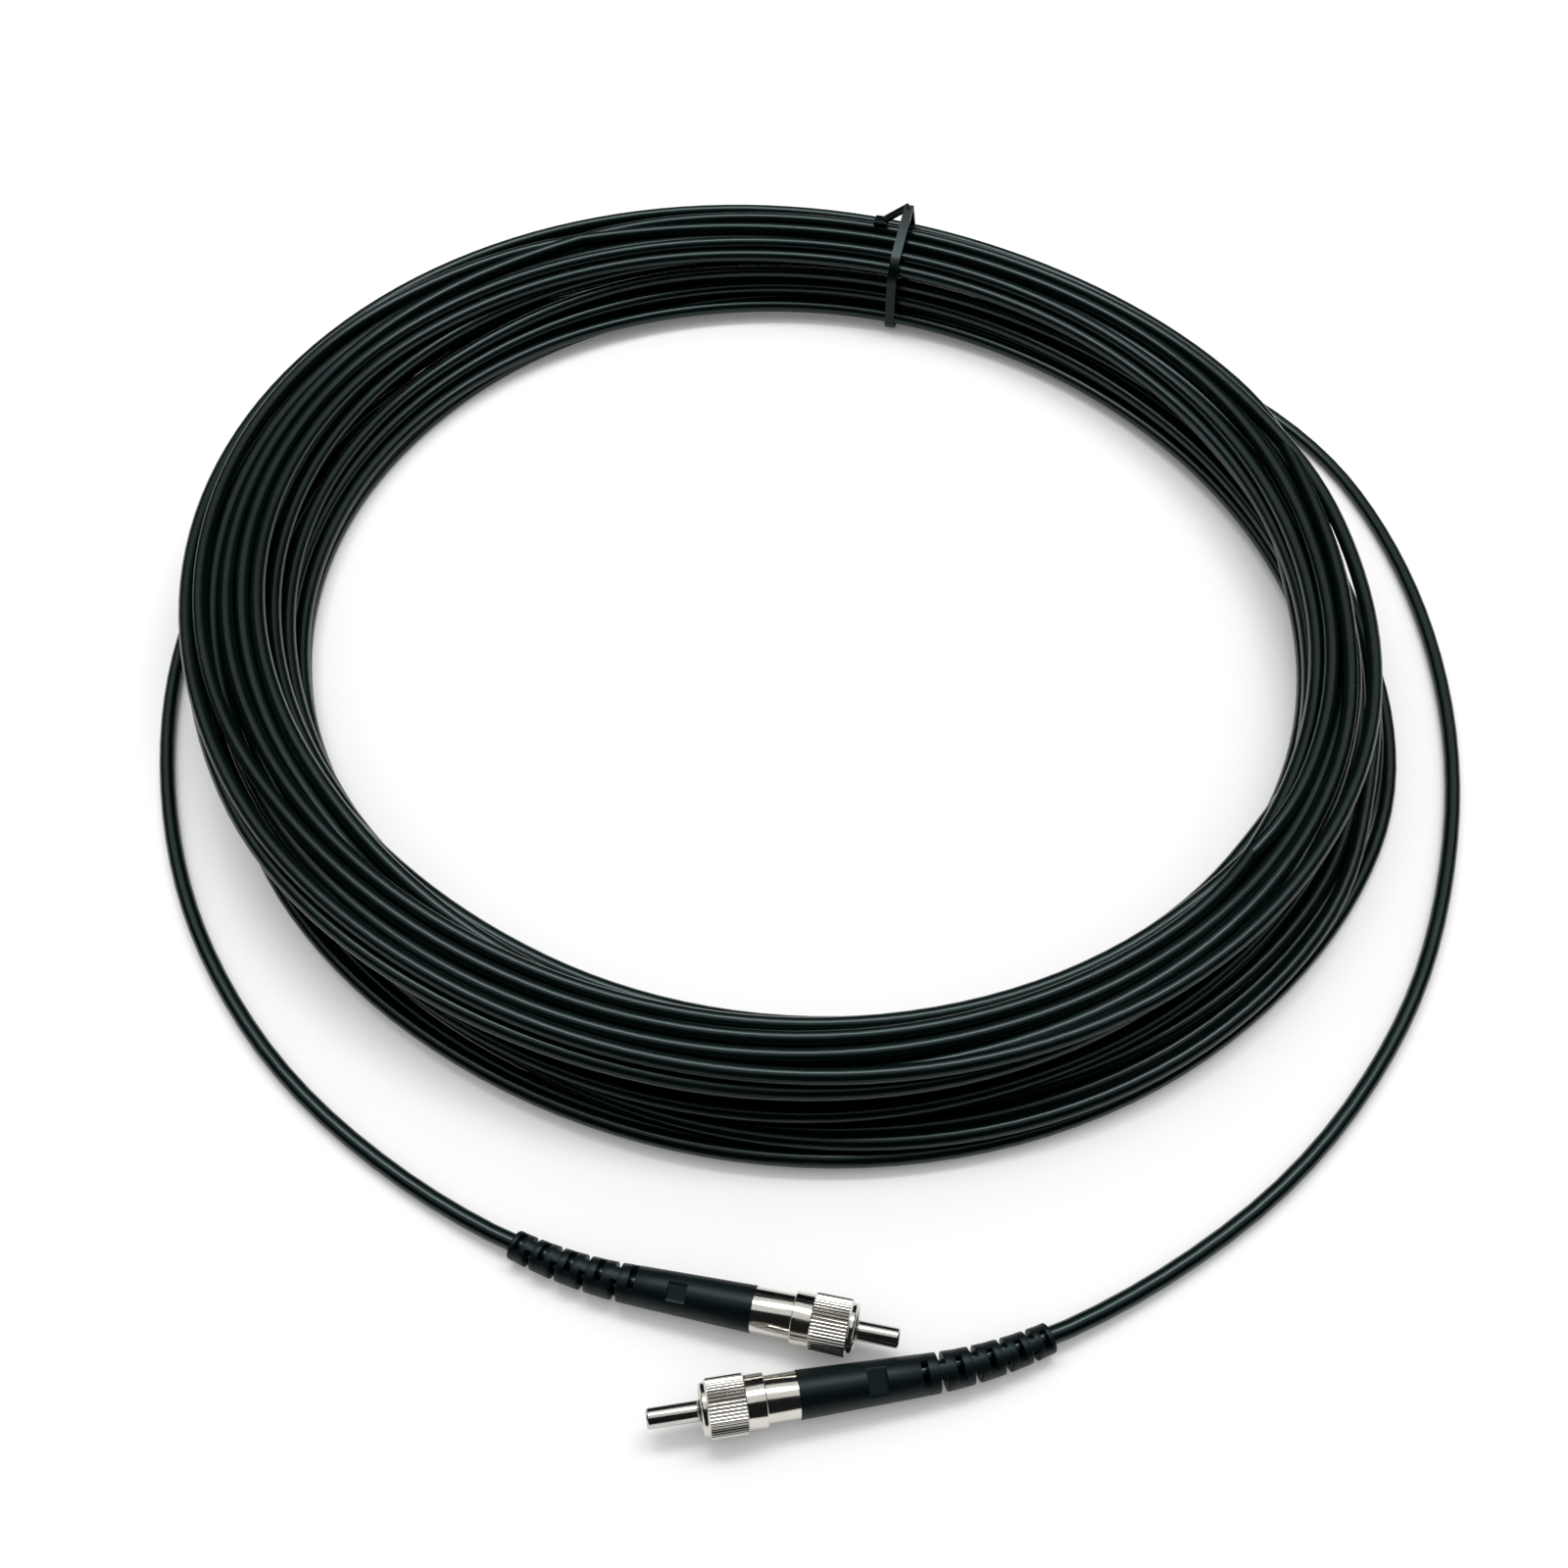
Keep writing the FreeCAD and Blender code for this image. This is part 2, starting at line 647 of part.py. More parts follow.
def tail(end, first_points, route):
    """The cable from its end in the boot to the coil, and the volume that its tube should hold."""
    points = first_points + [vector(*point) for point in route]
    edges, radii = cord_edges(points)
    path = doc.addObject("Part::Feature", f"tail_path_{end}")
    path.Shape = Part.Wire(edges)
    section = bound("Part::Circle", f"tail_section_{end}", Radius="Sizes.cable_dia / 2")
    section.Placement = FreeCAD.Placement(points[0], FreeCAD.Rotation(vector(0, 0, 1), points[1] - points[0]))
    tube = doc.addObject("Part::Sweep", f"tail_{end}")
    tube.Sections = [section]
    tube.Spine = (path, [f"Edge{k + 1}" for k in range(len(edges))])
    tube.Solid = True
    length = sum(edge.Length for edge in edges)
    print(f"tail_{end}: {length:.1f} mm, radii", " ".join(f"{radius:.0f}" for radius in radii))
    return tube, math.pi * size("cable_dia") ** 2 / 4 * length


VOLUME_TOLERANCE = 0.01
nodes = {}
tube_volumes = {}
for end, route in (("a", ROUTE_A), ("b", ROUTE_B)):
    place, first_points, bend_angle = connector_place(end, route)
    nut_place = place * moved(value(nut_reach(end)), 0, 0)
    fibre, fibre_turn = optical_fibre(end)
    fixed = [ferrule(end), connector_body(end), fibre_buffer(end), crimp_sleeve(end), boot(end, bend_angle)]
    for piece in fixed:
        piece.Placement = place
    fibre.Placement = place * fibre_turn
    sliding = [coupling_nut(end), retaining_ring(end)]
    for piece in sliding:
        piece.Placement = nut_place
    tube, tube_volumes[f"tail_{end}"] = tail(end, first_points, route)
    for piece in fixed + sliding + [fibre, tube]:
        nodes[piece.Label] = piece
nodes["coil"] = coil()
nodes["cable_tie"] = cable_tie()
doc.recompute()

for item in doc.Objects:
    if "Invalid" in item.State or "Error" in item.State:
        raise RuntimeError(f"{item.Label} failed to build: {item.State}")
os.makedirs("parts", exist_ok=True)
for label, piece in nodes.items():
    if piece.Shape.isNull() or not piece.Shape.isValid():
        raise RuntimeError(f"{label} has no valid shape")
    if label in tube_volumes and abs(piece.Shape.Volume / tube_volumes[label] - 1) > VOLUME_TOLERANCE:
        raise RuntimeError(f"{label} holds {piece.Shape.Volume:.0f} and not {tube_volumes[label]:.0f}")
for label, piece in nodes.items():
    piece.Shape.exportStep(f"parts/{label}.step")
print("nodes:", len(nodes))
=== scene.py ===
import json
import math

import bmesh
import bpy
import numpy as np
from mathutils import Matrix, Vector


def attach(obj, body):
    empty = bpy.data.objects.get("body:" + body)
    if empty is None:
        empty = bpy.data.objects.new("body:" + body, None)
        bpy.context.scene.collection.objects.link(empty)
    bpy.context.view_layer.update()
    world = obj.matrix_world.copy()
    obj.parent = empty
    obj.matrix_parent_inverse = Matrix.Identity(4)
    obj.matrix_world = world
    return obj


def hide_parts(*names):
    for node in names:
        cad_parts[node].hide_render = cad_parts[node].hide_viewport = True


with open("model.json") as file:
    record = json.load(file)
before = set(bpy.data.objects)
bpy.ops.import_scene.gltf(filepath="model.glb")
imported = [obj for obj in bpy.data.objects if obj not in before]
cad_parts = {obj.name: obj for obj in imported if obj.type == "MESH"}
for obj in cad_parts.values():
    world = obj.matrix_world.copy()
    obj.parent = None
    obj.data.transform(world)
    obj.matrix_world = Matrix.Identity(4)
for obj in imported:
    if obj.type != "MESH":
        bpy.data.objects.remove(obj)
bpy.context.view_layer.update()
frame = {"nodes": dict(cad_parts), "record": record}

# The ferrules
# A stainless steel tube on each connector, ground to fit its port, with a bevelled nose and a fine bore for
# the fibre. Behind its seat it steps down to a shank, which is bonded into the connector's body.

MM = 0.001
ENDS = ("a", "b")
FERRULE_DIA = 3.175 * MM
FERRULE_LENGTH = 19.6 * MM
FERRULE_CHAMFER = 0.3 * MM
SHANK_DIA = 2.8 * MM
SEAT_DEPTH = 9.8 * MM
FIBRE_BORE = 0.64 * MM
PIN_MIDDLE = 5.05 * MM
TURNING_STEPS = 96
SHARP_EDGE = math.radians(30)
CRISP_EDGE = math.radians(25)
BROKEN_EDGE = 0.06 * MM
METAL_GLOSS = (0.1, 0.18)
GRINDING_MARK = 0.2 * MM
MARK_DEPTH = 0.0006 * MM
BLOOM_WIDTH = 3.0 * MM
NOISE_SPREAD = (0.3, 0.7)
# The sockets of a mix node that take and give colours
MIX_SHARE, MIX_FIRST, MIX_SECOND, MIXED = 0, 6, 7, 2


def connector_line(end):
    """The ferrule's tip, and the way from it back along the connector."""
    mount = next(m for m in frame["record"]["mounts"] if m["name"] == f"ferrule_{end}")
    forward = Vector(mount["axis"]).normalized()
    return Vector(mount["pos_m"]) + forward * PIN_MIDDLE, -forward


def connector_place(end):
    """The connector's frame: X back along its axis from the ferrule's tip, Z upwards."""
    tip, back = connector_line(end)
    return Matrix.Translation(tip) @ back.to_track_quat("X", "Z").to_matrix().to_4x4()


def turned(profile, edge, steps=TURNING_STEPS, arc=2 * math.pi):
    """A solid spun about X from a closed profile of (station, radius) points, with its edges broken."""
    solid = bmesh.new()
    corners = [solid.verts.new((station, radius, 0)) for station, radius in profile]
    outline = [solid.edges.new((corners[k - 1], corners[k])) for k in range(len(corners))]
    whole = arc == 2 * math.pi
    bmesh.ops.spin(solid, geom=corners + outline, cent=(0, 0, 0), axis=(1, 0, 0), angle=arc, steps=steps,
                   use_merge=whole)
    if not whole:
        bmesh.ops.holes_fill(solid, edges=[rim for rim in solid.edges if rim.is_boundary])
    bmesh.ops.recalc_face_normals(solid, faces=solid.faces)
    sharp = [rim for rim in solid.edges if rim.calc_face_angle(0) > SHARP_EDGE]
    bmesh.ops.bevel(solid, geom=sharp, offset=edge, segments=2, profile=0.5, affect="EDGES", material=-1,
                    clamp_overlap=True)
    return solid


def finished_piece(name, solid, body, node, material):
    """An object made from a solid that stands at its place, riding on a body in place of a CAD node."""
    mesh = bpy.data.meshes.new(name)
    solid.to_mesh(mesh)
    solid.free()
    mesh.shade_smooth()
    mesh.set_sharp_from_angle(angle=CRISP_EDGE)
    mesh.materials.append(material)
    piece = bpy.data.objects.new(name, mesh)
    bpy.context.collection.objects.link(piece)
    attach(piece, body)
    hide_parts(node)
    return piece


def linear(hex_code):
    """An sRGB hex colour as linear red, green, blue and alpha."""
    channels = [int(hex_code[k:k + 2], 16) / 255 for k in (1, 3, 5)]
    return [c / 12.92 if c <= 0.04045 else ((c + 0.055) / 1.055) ** 2.4 for c in channels] + [1.0]


def add_node(tree, kind, inputs=None, **settings):
    """Adds a node with its settings, and gives each input, by name or number, a value or a link."""
    made = tree.nodes.new(kind)
    for name, setting in settings.items():
        setattr(made, name, setting)
    for name, given in (inputs or {}).items():
        if isinstance(given, bpy.types.NodeSocket):
            tree.links.new(given, made.inputs[name])
        else:
            made.inputs[name].default_value = given
    return made


def new_material(name, **constants):
    """A material, its nodes, its shader with the constant sockets set, and the object's coordinates."""
    material = bpy.data.materials.new(name)
    material.use_nodes = True
    tree = material.node_tree
    shader = tree.nodes["Principled BSDF"]
    for socket, constant in constants.items():
        shader.inputs[socket.replace("_", " ")].default_value = constant
    return material, tree, shader, add_node(tree, "ShaderNodeTexCoord").outputs["Object"]


def patchy_finish(tree, shader, coordinates, width, colours, gloss, detail, spread=(0.0, 1.0)):
    """Lets a finish drift between two colours and two roughnesses, in patches of a real width."""
    patch = add_node(tree, "ShaderNodeTexNoise", {
        "Vector": coordinates,
        "Scale": 1 / width,
        "Detail": detail,
    })
    colour = add_node(tree, "ShaderNodeMix", {
        MIX_SHARE: patch.outputs[0],
        MIX_FIRST: linear(colours[0]),
        MIX_SECOND: linear(colours[1]),
    }, data_type="RGBA")
    tree.links.new(colour.outputs[MIXED], shader.inputs["Base Color"])
    roughness = add_node(tree, "ShaderNodeMapRange", {
        "Value": patch.outputs[0],
        "From Min": spread[0],
        "From Max": spread[1],
        "To Min": gloss[0],
        "To Max": gloss[1],
    })
    tree.links.new(roughness.outputs[0], shader.inputs["Roughness"])


def turned_metal(name, end, colours, tool_mark):
    """A metal with tool marks round the connector's axis and a dull bloom here and there."""
    material, tree, shader, coordinates = new_material(f"{name}_{end}", Metallic=1.0)
    place = connector_place(end)
    on_axis = add_node(tree, "ShaderNodeMapping", {
        "Vector": coordinates,
        "Location": place.to_translation(),
        "Rotation": place.to_euler(),
    }, vector_type="TEXTURE")
    patchy_finish(tree, shader, on_axis.outputs[0], width=BLOOM_WIDTH, colours=colours, gloss=METAL_GLOSS,
                  detail=4.0, spread=NOISE_SPREAD)
    station = add_node(tree, "ShaderNodeSeparateXYZ", {0: on_axis.outputs[0]})
    marks = add_node(tree, "ShaderNodeTexNoise", {
        "W": station.outputs["X"],
        "Scale": 1 / tool_mark,
        "Detail": 2.0,
    }, noise_dimensions="1D")
    relief = add_node(tree, "ShaderNodeBump", {
        "Height": marks.outputs[0],
        "Strength": 1.0,
        "Distance": MARK_DEPTH,
    })
    tree.links.new(relief.outputs[0], shader.inputs["Normal"])
    return material


def ferrule_solid():
    """The ferrule along X, its tip at the origin."""
    return turned([
        (0, FIBRE_BORE / 2),
        (0, FERRULE_DIA / 2 - FERRULE_CHAMFER),
        (FERRULE_CHAMFER, FERRULE_DIA / 2),
        (SEAT_DEPTH, FERRULE_DIA / 2),
        (SEAT_DEPTH, SHANK_DIA / 2),
        (FERRULE_LENGTH, SHANK_DIA / 2),
        (FERRULE_LENGTH, FIBRE_BORE / 2),
    ], BROKEN_EDGE)


for end in ENDS:
    solid = ferrule_solid()
    solid.transform(connector_place(end))
    # Stainless steel, centreless ground: bright and a little grey, with hair-fine rings round it
    ground_steel = turned_metal("ground_steel", end, ("#d2d1cd", "#b9b8b3"), GRINDING_MARK)
    finished_piece(f"ground_ferrule_{end}", solid, "cord", f"ferrule_{end}",
                                   ground_steel)

# The fibre and its buffer
# A silica fibre runs from the cable through the body and the ferrule, and is polished flush at the nose.
# A soft coating protects it up to the ferrule. Both are drawn, and only the fibre's end shows.

GLASS_RIPPLE = 0.4 * MM
# Fused silica, polished: clear, and dark where it looks down its own length
silica, tree, shader, coordinates = new_material("polished_silica", IOR=1.46)
patchy_finish(tree, shader, coordinates, width=GLASS_RIPPLE,
              colours=("#8d9496", "#8d9496"), gloss=(0.02, 0.08), detail=2.0)

# Acrylate, coated wet and cured: a milky skin with a low gloss
acrylate, tree, shader, coordinates = new_material("cured_acrylate", IOR=1.5)
patchy_finish(tree, shader, coordinates, width=GLASS_RIPPLE,
              colours=("#e2dfd3", "#d3cfc0"), gloss=(0.3, 0.5), detail=2.0)
for end in ENDS:
    for node, finish in ((f"optical_fibre_{end}", silica), (f"fibre_buffer_{end}", acrylate)):
        frame["nodes"][node].data.materials.clear()
        frame["nodes"][node].data.materials.append(finish)

# The connector bodies
# Brass turned on a lathe and plated with nickel. A flange in front stops the nut, the neck carries the nut's
# ring, the barrel is what shows, and the spigot and stem behind it go into the boot and the cable.

BODY_LENGTH = 13.8 * MM
FLANGE_DIA = 5.3 * MM
FLANGE_THICKNESS = 1.2 * MM
NECK_DIA = 4.6 * MM
NECK_LENGTH = 4.3 * MM
BARREL_DIA = 7.2 * MM
BARREL_CHAMFER = 0.25 * MM
SPIGOT_DIA = 5.7 * MM
SPIGOT_LENGTH = 5.0 * MM
STEM_DIA = 2.9 * MM
CABLE_INSET = 8.0 * MM
GLUE_LINE = 0.01 * MM
BUFFER_BORE = 1.0 * MM
LATHE_MARK = 0.25 * MM
BOOT_FRONT = SEAT_DEPTH + BODY_LENGTH
CABLE_START = BOOT_FRONT + CABLE_INSET


def body_solid():
    """The body along X, bored for the ferrule's shank and behind it for the buffer."""
    neck = SEAT_DEPTH + FLANGE_THICKNESS
    barrel = neck + NECK_LENGTH
    spigot_end = BOOT_FRONT + SPIGOT_LENGTH
    shank_bore = SHANK_DIA / 2 + GLUE_LINE
    return turned([
        (SEAT_DEPTH, shank_bore),
        (SEAT_DEPTH, FLANGE_DIA / 2),
        (neck, FLANGE_DIA / 2),
        (neck, NECK_DIA / 2),
        (barrel, NECK_DIA / 2),
        (barrel, BARREL_DIA / 2 - BARREL_CHAMFER),
        (barrel + BARREL_CHAMFER, BARREL_DIA / 2),
        (BOOT_FRONT, BARREL_DIA / 2),
        (BOOT_FRONT, SPIGOT_DIA / 2),
        (spigot_end, SPIGOT_DIA / 2),
        (spigot_end, STEM_DIA / 2),
        (CABLE_START, STEM_DIA / 2),
        (CABLE_START, BUFFER_BORE / 2),
        (FERRULE_LENGTH, BUFFER_BORE / 2),
        (FERRULE_LENGTH, shank_bore),
    ], BROKEN_EDGE)


bodies, nickel_plate = {}, {}
for end in ENDS:
    solid = body_solid()
    solid.transform(connector_place(end))
    # Brass under bright nickel: a mirror with a trace of warmth, and the lathe's fine rings still in it
    nickel_plate[end] = turned_metal("nickel_plate", end, ("#dcdad4", "#cbc8be"), LATHE_MARK)
    bodies[end] = finished_piece(f"plated_body_{end}", solid, "cord", f"connector_body_{end}",
                                 nickel_plate[end])

# The coupling nuts
# Turned and plated like the body, with a straight knurl rolled in for the fingers, and inside a thread of
# 36 turns to the inch. Each slides and spins on its body, held by a ring in a groove behind the thread.

NUT_FRONT = {"a": 8.4 * MM, "b": 7.0 * MM}
NUT_DIA = 9.0 * MM
NUT_NOSE_DIA = 8.1 * MM
NUT_NOSE_CHAMFER = 0.3 * MM
NUT_NOSE_LENGTH = 1.0 * MM
KNURL_LENGTH = 6.0 * MM
KNURL_TEETH = 48
KNURL_DEPTH = 0.22 * MM
KNURL_RUNOUT = 0.15 * MM
STEPS_A_TOOTH = 8
SKIRT_DIA = 8.3 * MM
SKIRT_LENGTH = 3.1 * MM
SKIRT_CHAMFER = 0.14 * MM
SKIRT_CLEARANCE = 0.04 * MM
THREAD_LENGTH = 5.0 * MM
THREAD_MINOR_DIA = 5.7 * MM
THREAD_MAJOR_DIA = 6.35 * MM
THREAD_PITCH = 25.4 * MM / 36
THREAD_CHAMFER = 0.4 * MM
THREAD_ROOT = 0.03 * MM
THREAD_CREST = 0.12
THREAD_STEPS = 48
RING_DIA = 6.5 * MM
RING_THICKNESS = 0.6 * MM
RING_CLEARANCE = 0.05 * MM
NUT_WEB = 0.7 * MM


def add_solid(whole, part, place=Matrix.Identity(4)):
    """Joins a solid to others, at a place if it isn't there yet."""
    part.transform(place)
    scrap = bpy.data.meshes.new("scrap")
    part.to_mesh(scrap)
    part.free()
    whole.from_mesh(scrap)
    bpy.data.meshes.remove(scrap)


def roll_knurl(solid):
    """Presses round-topped teeth into the nut's widest stretch, by moving its points inwards."""
    for point in solid.verts:
        radius = math.hypot(point.co.y, point.co.z)
        if radius > NUT_DIA / 2 - BROKEN_EDGE / 2:
            tooth = math.atan2(point.co.z, point.co.y) * KNURL_TEETH / 2
            pressed = 1 - KNURL_DEPTH * (1 - abs(math.sin(tooth))) / radius
            point.co.y *= pressed
            point.co.z *= pressed


def thread_ridge():
    """The thread's ridge, a helix of one pitch's section from the chamfer to the ring's groove."""
    ridge = bmesh.new()
    outer = THREAD_MAJOR_DIA / 2 + THREAD_ROOT
    crest = THREAD_MINOR_DIA / 2
    profile = [(0, outer), ((1 - THREAD_CREST) / 2, crest), ((1 + THREAD_CREST) / 2, crest), (1, outer)]
    corners = [ridge.verts.new((THREAD_CHAMFER + share * THREAD_PITCH, radius, 0))
               for share, radius in profile]
    outline = [ridge.edges.new((corners[k - 1], corners[k])) for k in range(len(corners))]
    turns = (THREAD_LENGTH - THREAD_CHAMFER) / THREAD_PITCH - 1
    bmesh.ops.spin(ridge, geom=corners + outline, cent=(0, 0, 0), axis=(1, 0, 0), angle=2 * math.pi * turns,
                   steps=int(THREAD_STEPS * turns), dvec=(THREAD_PITCH / THREAD_STEPS, 0, 0))
    bmesh.ops.holes_fill(ridge, edges=[rim for rim in ridge.edges if rim.is_boundary])
    bmesh.ops.recalc_face_normals(ridge, faces=ridge.faces)
    return ridge


def nut_solid():
    """The nut along X, its front at the origin, with its knurl rolled in and its thread cut."""
    knurl_end = NUT_NOSE_LENGTH + KNURL_LENGTH
    rear = knurl_end + SKIRT_LENGTH
    groove_end = THREAD_LENGTH + RING_THICKNESS + 2 * RING_CLEARANCE
    web_end = groove_end + NUT_WEB
    knurl_root = NUT_DIA / 2 - KNURL_DEPTH
    groove = RING_DIA / 2 + RING_CLEARANCE
    skirt_bore = BARREL_DIA / 2 + SKIRT_CLEARANCE
    solid = turned([
        (0, THREAD_MAJOR_DIA / 2 + THREAD_CHAMFER / 2),
        (0, NUT_NOSE_DIA / 2 - NUT_NOSE_CHAMFER),
        (NUT_NOSE_CHAMFER, NUT_NOSE_DIA / 2),
        (NUT_NOSE_LENGTH - KNURL_RUNOUT, NUT_NOSE_DIA / 2),
        (NUT_NOSE_LENGTH, knurl_root),
        (NUT_NOSE_LENGTH + KNURL_RUNOUT, NUT_DIA / 2),
        (knurl_end - KNURL_RUNOUT, NUT_DIA / 2),
        (knurl_end, knurl_root),
        (knurl_end, SKIRT_DIA / 2),
        (rear - SKIRT_CHAMFER, SKIRT_DIA / 2),
        (rear, SKIRT_DIA / 2 - SKIRT_CHAMFER),
        (rear, skirt_bore),
        (web_end, skirt_bore),
        (web_end, THREAD_MINOR_DIA / 2),
        (groove_end, THREAD_MINOR_DIA / 2),
        (groove_end, groove),
        (THREAD_LENGTH, groove),
        (THREAD_LENGTH, THREAD_MAJOR_DIA / 2),
        (THREAD_CHAMFER / 2, THREAD_MAJOR_DIA / 2),
    ], BROKEN_EDGE, KNURL_TEETH * STEPS_A_TOOTH)
    roll_knurl(solid)
    add_solid(solid, thread_ridge())
    return solid


for end in ENDS:
    solid = nut_solid()
    solid.transform(connector_place(end) @ Matrix.Translation((NUT_FRONT[end], 0, 0)))
    finished_piece(f"knurled_nut_{end}", solid, f"nut_{end}", f"coupling_nut_{end}",
                               nickel_plate[end])

# The retaining rings and crimp sleeves
# A spring steel ring holds each nut on its neck. A brass sleeve behind the body grips the cable's jacket.
# Both are hidden, the ring in the nut and the sleeve in the boot.

SPRING_SCALE = 1.5 * MM
BRASS_STAIN = 1.5 * MM
# Spring steel, rolled: dark grey with a dull shine
spring_steel, tree, shader, coordinates = new_material("spring_steel", Metallic=1.0)
patchy_finish(tree, shader, coordinates, width=SPRING_SCALE,
              colours=("#a8a8a6", "#a8a8a6"), gloss=(0.3, 0.45), detail=2.0)

# Brass, drawn and left plain: yellow, going brown where it is handled
drawn_brass, tree, shader, coordinates = new_material("drawn_brass", Metallic=1.0)
patchy_finish(tree, shader, coordinates, width=BRASS_STAIN,
              colours=("#d3b877", "#b39355"), gloss=(0.35, 0.35), detail=2.0)
for end in ENDS:
    for node, finish in ((f"retaining_ring_{end}", spring_steel), (f"crimp_sleeve_{end}", drawn_brass)):
        frame["nodes"][node].data.materials.clear()
        frame["nodes"][node].data.materials.append(finish)

# The boots
# One moulding of black rubber on each end, pushed over the spigot and the crimp. Its grip is smooth with a
# bare pad. Its tail is cut by slots that turn a quarter from one to the next, so that it bends with the cord.

BOOT_LENGTH = 41.3 * MM
BOOT_FRONT_DIA = 7.4 * MM
BOOT_SHOULDER_DIA = 6.4 * MM
BOOT_END_DIA = 4.9 * MM
BOOT_LIP = 0.3 * MM
BOOT_CLEARANCE = 0.05 * MM
BOOT_EDGE = 0.06 * MM
BOOT_STEPS = 80
CABLE_DIA = 3.0 * MM
CABLE_BORE = CABLE_DIA / 2 + BOOT_CLEARANCE
CRIMP_DIA = 4.4 * MM
CRIMP_LENGTH = 8.8 * MM
CRIMP_GAP = 0.2 * MM
SLOTS = 9
SLOT_WIDTH = 1.1 * MM
SLOT_FIRST = 19.9 * MM
SLOT_CROWDING = 0.15
SLOT_ROLL = {"a": math.radians(20), "b": math.radians(183)}
END_RING = 0.8 * MM
RIB_ARCS = (math.radians(96), math.radians(44))
RIB_STEPS = 20
RIB_BITE = 0.5 * MM
RIB_SETBACK = 0.02 * MM
PAD_STATION = 12.3 * MM
PAD_LENGTH = 3.1 * MM
PAD_HALF_ARC = {"a": math.radians(36), "b": math.radians(26)}
PAD_ARC_SLACK = 1.01
PAD_DEPTH = 0.12 * MM
PAD_WALL = 0.04 * MM
PAD_ROLL = {"a": math.radians(20), "b": math.radians(160)}
FIRST_RUN = 23.0 * MM
BEND_SHARE = 0.45
BEND_START = CABLE_INSET + FIRST_RUN * (1 - BEND_SHARE)

# The cord's route on the floor, from the first bend in each boot to the coil
ROUTES = {
    "a": [
        (0.0551, -0.1290, 0.0015),
        (0.0834, -0.1091, 0.0015),
        (0.1063, -0.0821, 0.0015),
        (0.1205, -0.0548, 0.0015),
        (0.1313, -0.0206, 0.0015),
        (0.1350, 0.0143, 0.0015),
        (0.1322, 0.0467, 0.0015),
        (0.1233, 0.0759, 0.0015),
        (0.1034, 0.1019, 0.0015),
        (0.0759, 0.1187, 0.0017),
        (0.0492, 0.1325, 0.0023),
    ],
    "b": [
        (-0.0665, -0.1127, 0.0015),
        (-0.0924, -0.0922, 0.0015),
        (-0.1115, -0.0675, 0.0015),
        (-0.1241, -0.0418, 0.0015),
        (-0.1326, -0.0107, 0.0015),
        (-0.1350, 0.0186, 0.0015),
        (-0.1307, 0.0476, 0.0024),
    ],
}


def first_points(end):
    """The cable's end in the boot, and its first bend."""
    tip, back = connector_line(end)
    return [tip + back * CABLE_START, tip + back * (CABLE_START + FIRST_RUN)]


def boot_place(end):
    """The connector's frame with Y to the side that the boot bends to, and the bend's angle and radius."""
    tip, back = connector_line(end)
    onward = Vector(ROUTES[end][0]) - first_points(end)[1]
    side = (onward - back * onward.dot(back)).normalized()
    turn = Matrix((back, side, back.cross(side))).transposed().to_4x4()
    angle = back.angle(onward)
    return Matrix.Translation(tip) @ turn, angle, BEND_SHARE * FIRST_RUN / math.tan(angle / 2)


def boot_station(distance, bend_angle, bend_radius):
    """The place on the boot's centre line at a distance from its front, X along the line."""
    past = distance - BEND_START
    angle = min(max(past / bend_radius, 0.0), bend_angle)
    straight = past - angle * bend_radius
    along = BOOT_FRONT + BEND_START + bend_radius * math.sin(angle) + straight * math.cos(angle)
    aside = bend_radius * (1 - math.cos(angle)) + straight * math.sin(angle)
    return Matrix.Translation((along, aside, 0)) @ Matrix.Rotation(angle, 4, "Z")


def slot_station(k):
    """The distance from the boot's front to a slot: the slots crowd towards the thin end."""
    slot_last = BOOT_LENGTH - END_RING - SLOT_WIDTH / 2
    share = k / (SLOTS - 1)
    return SLOT_FIRST + (slot_last - SLOT_FIRST) * share * (1 + SLOT_CROWDING * (1 - share))


def boot_skin(distance):
    """The boot's outer radius at a distance from its front: one taper on the grip, another on the tail."""
    grip_end = SLOT_FIRST - SLOT_WIDTH / 2
    sections = [0, BOOT_LIP, grip_end, BOOT_LENGTH]
    diameters = [BOOT_FRONT_DIA, BOOT_FRONT_DIA, BOOT_SHOULDER_DIA, BOOT_END_DIA]
    return np.interp(distance, sections, diameters) / 2


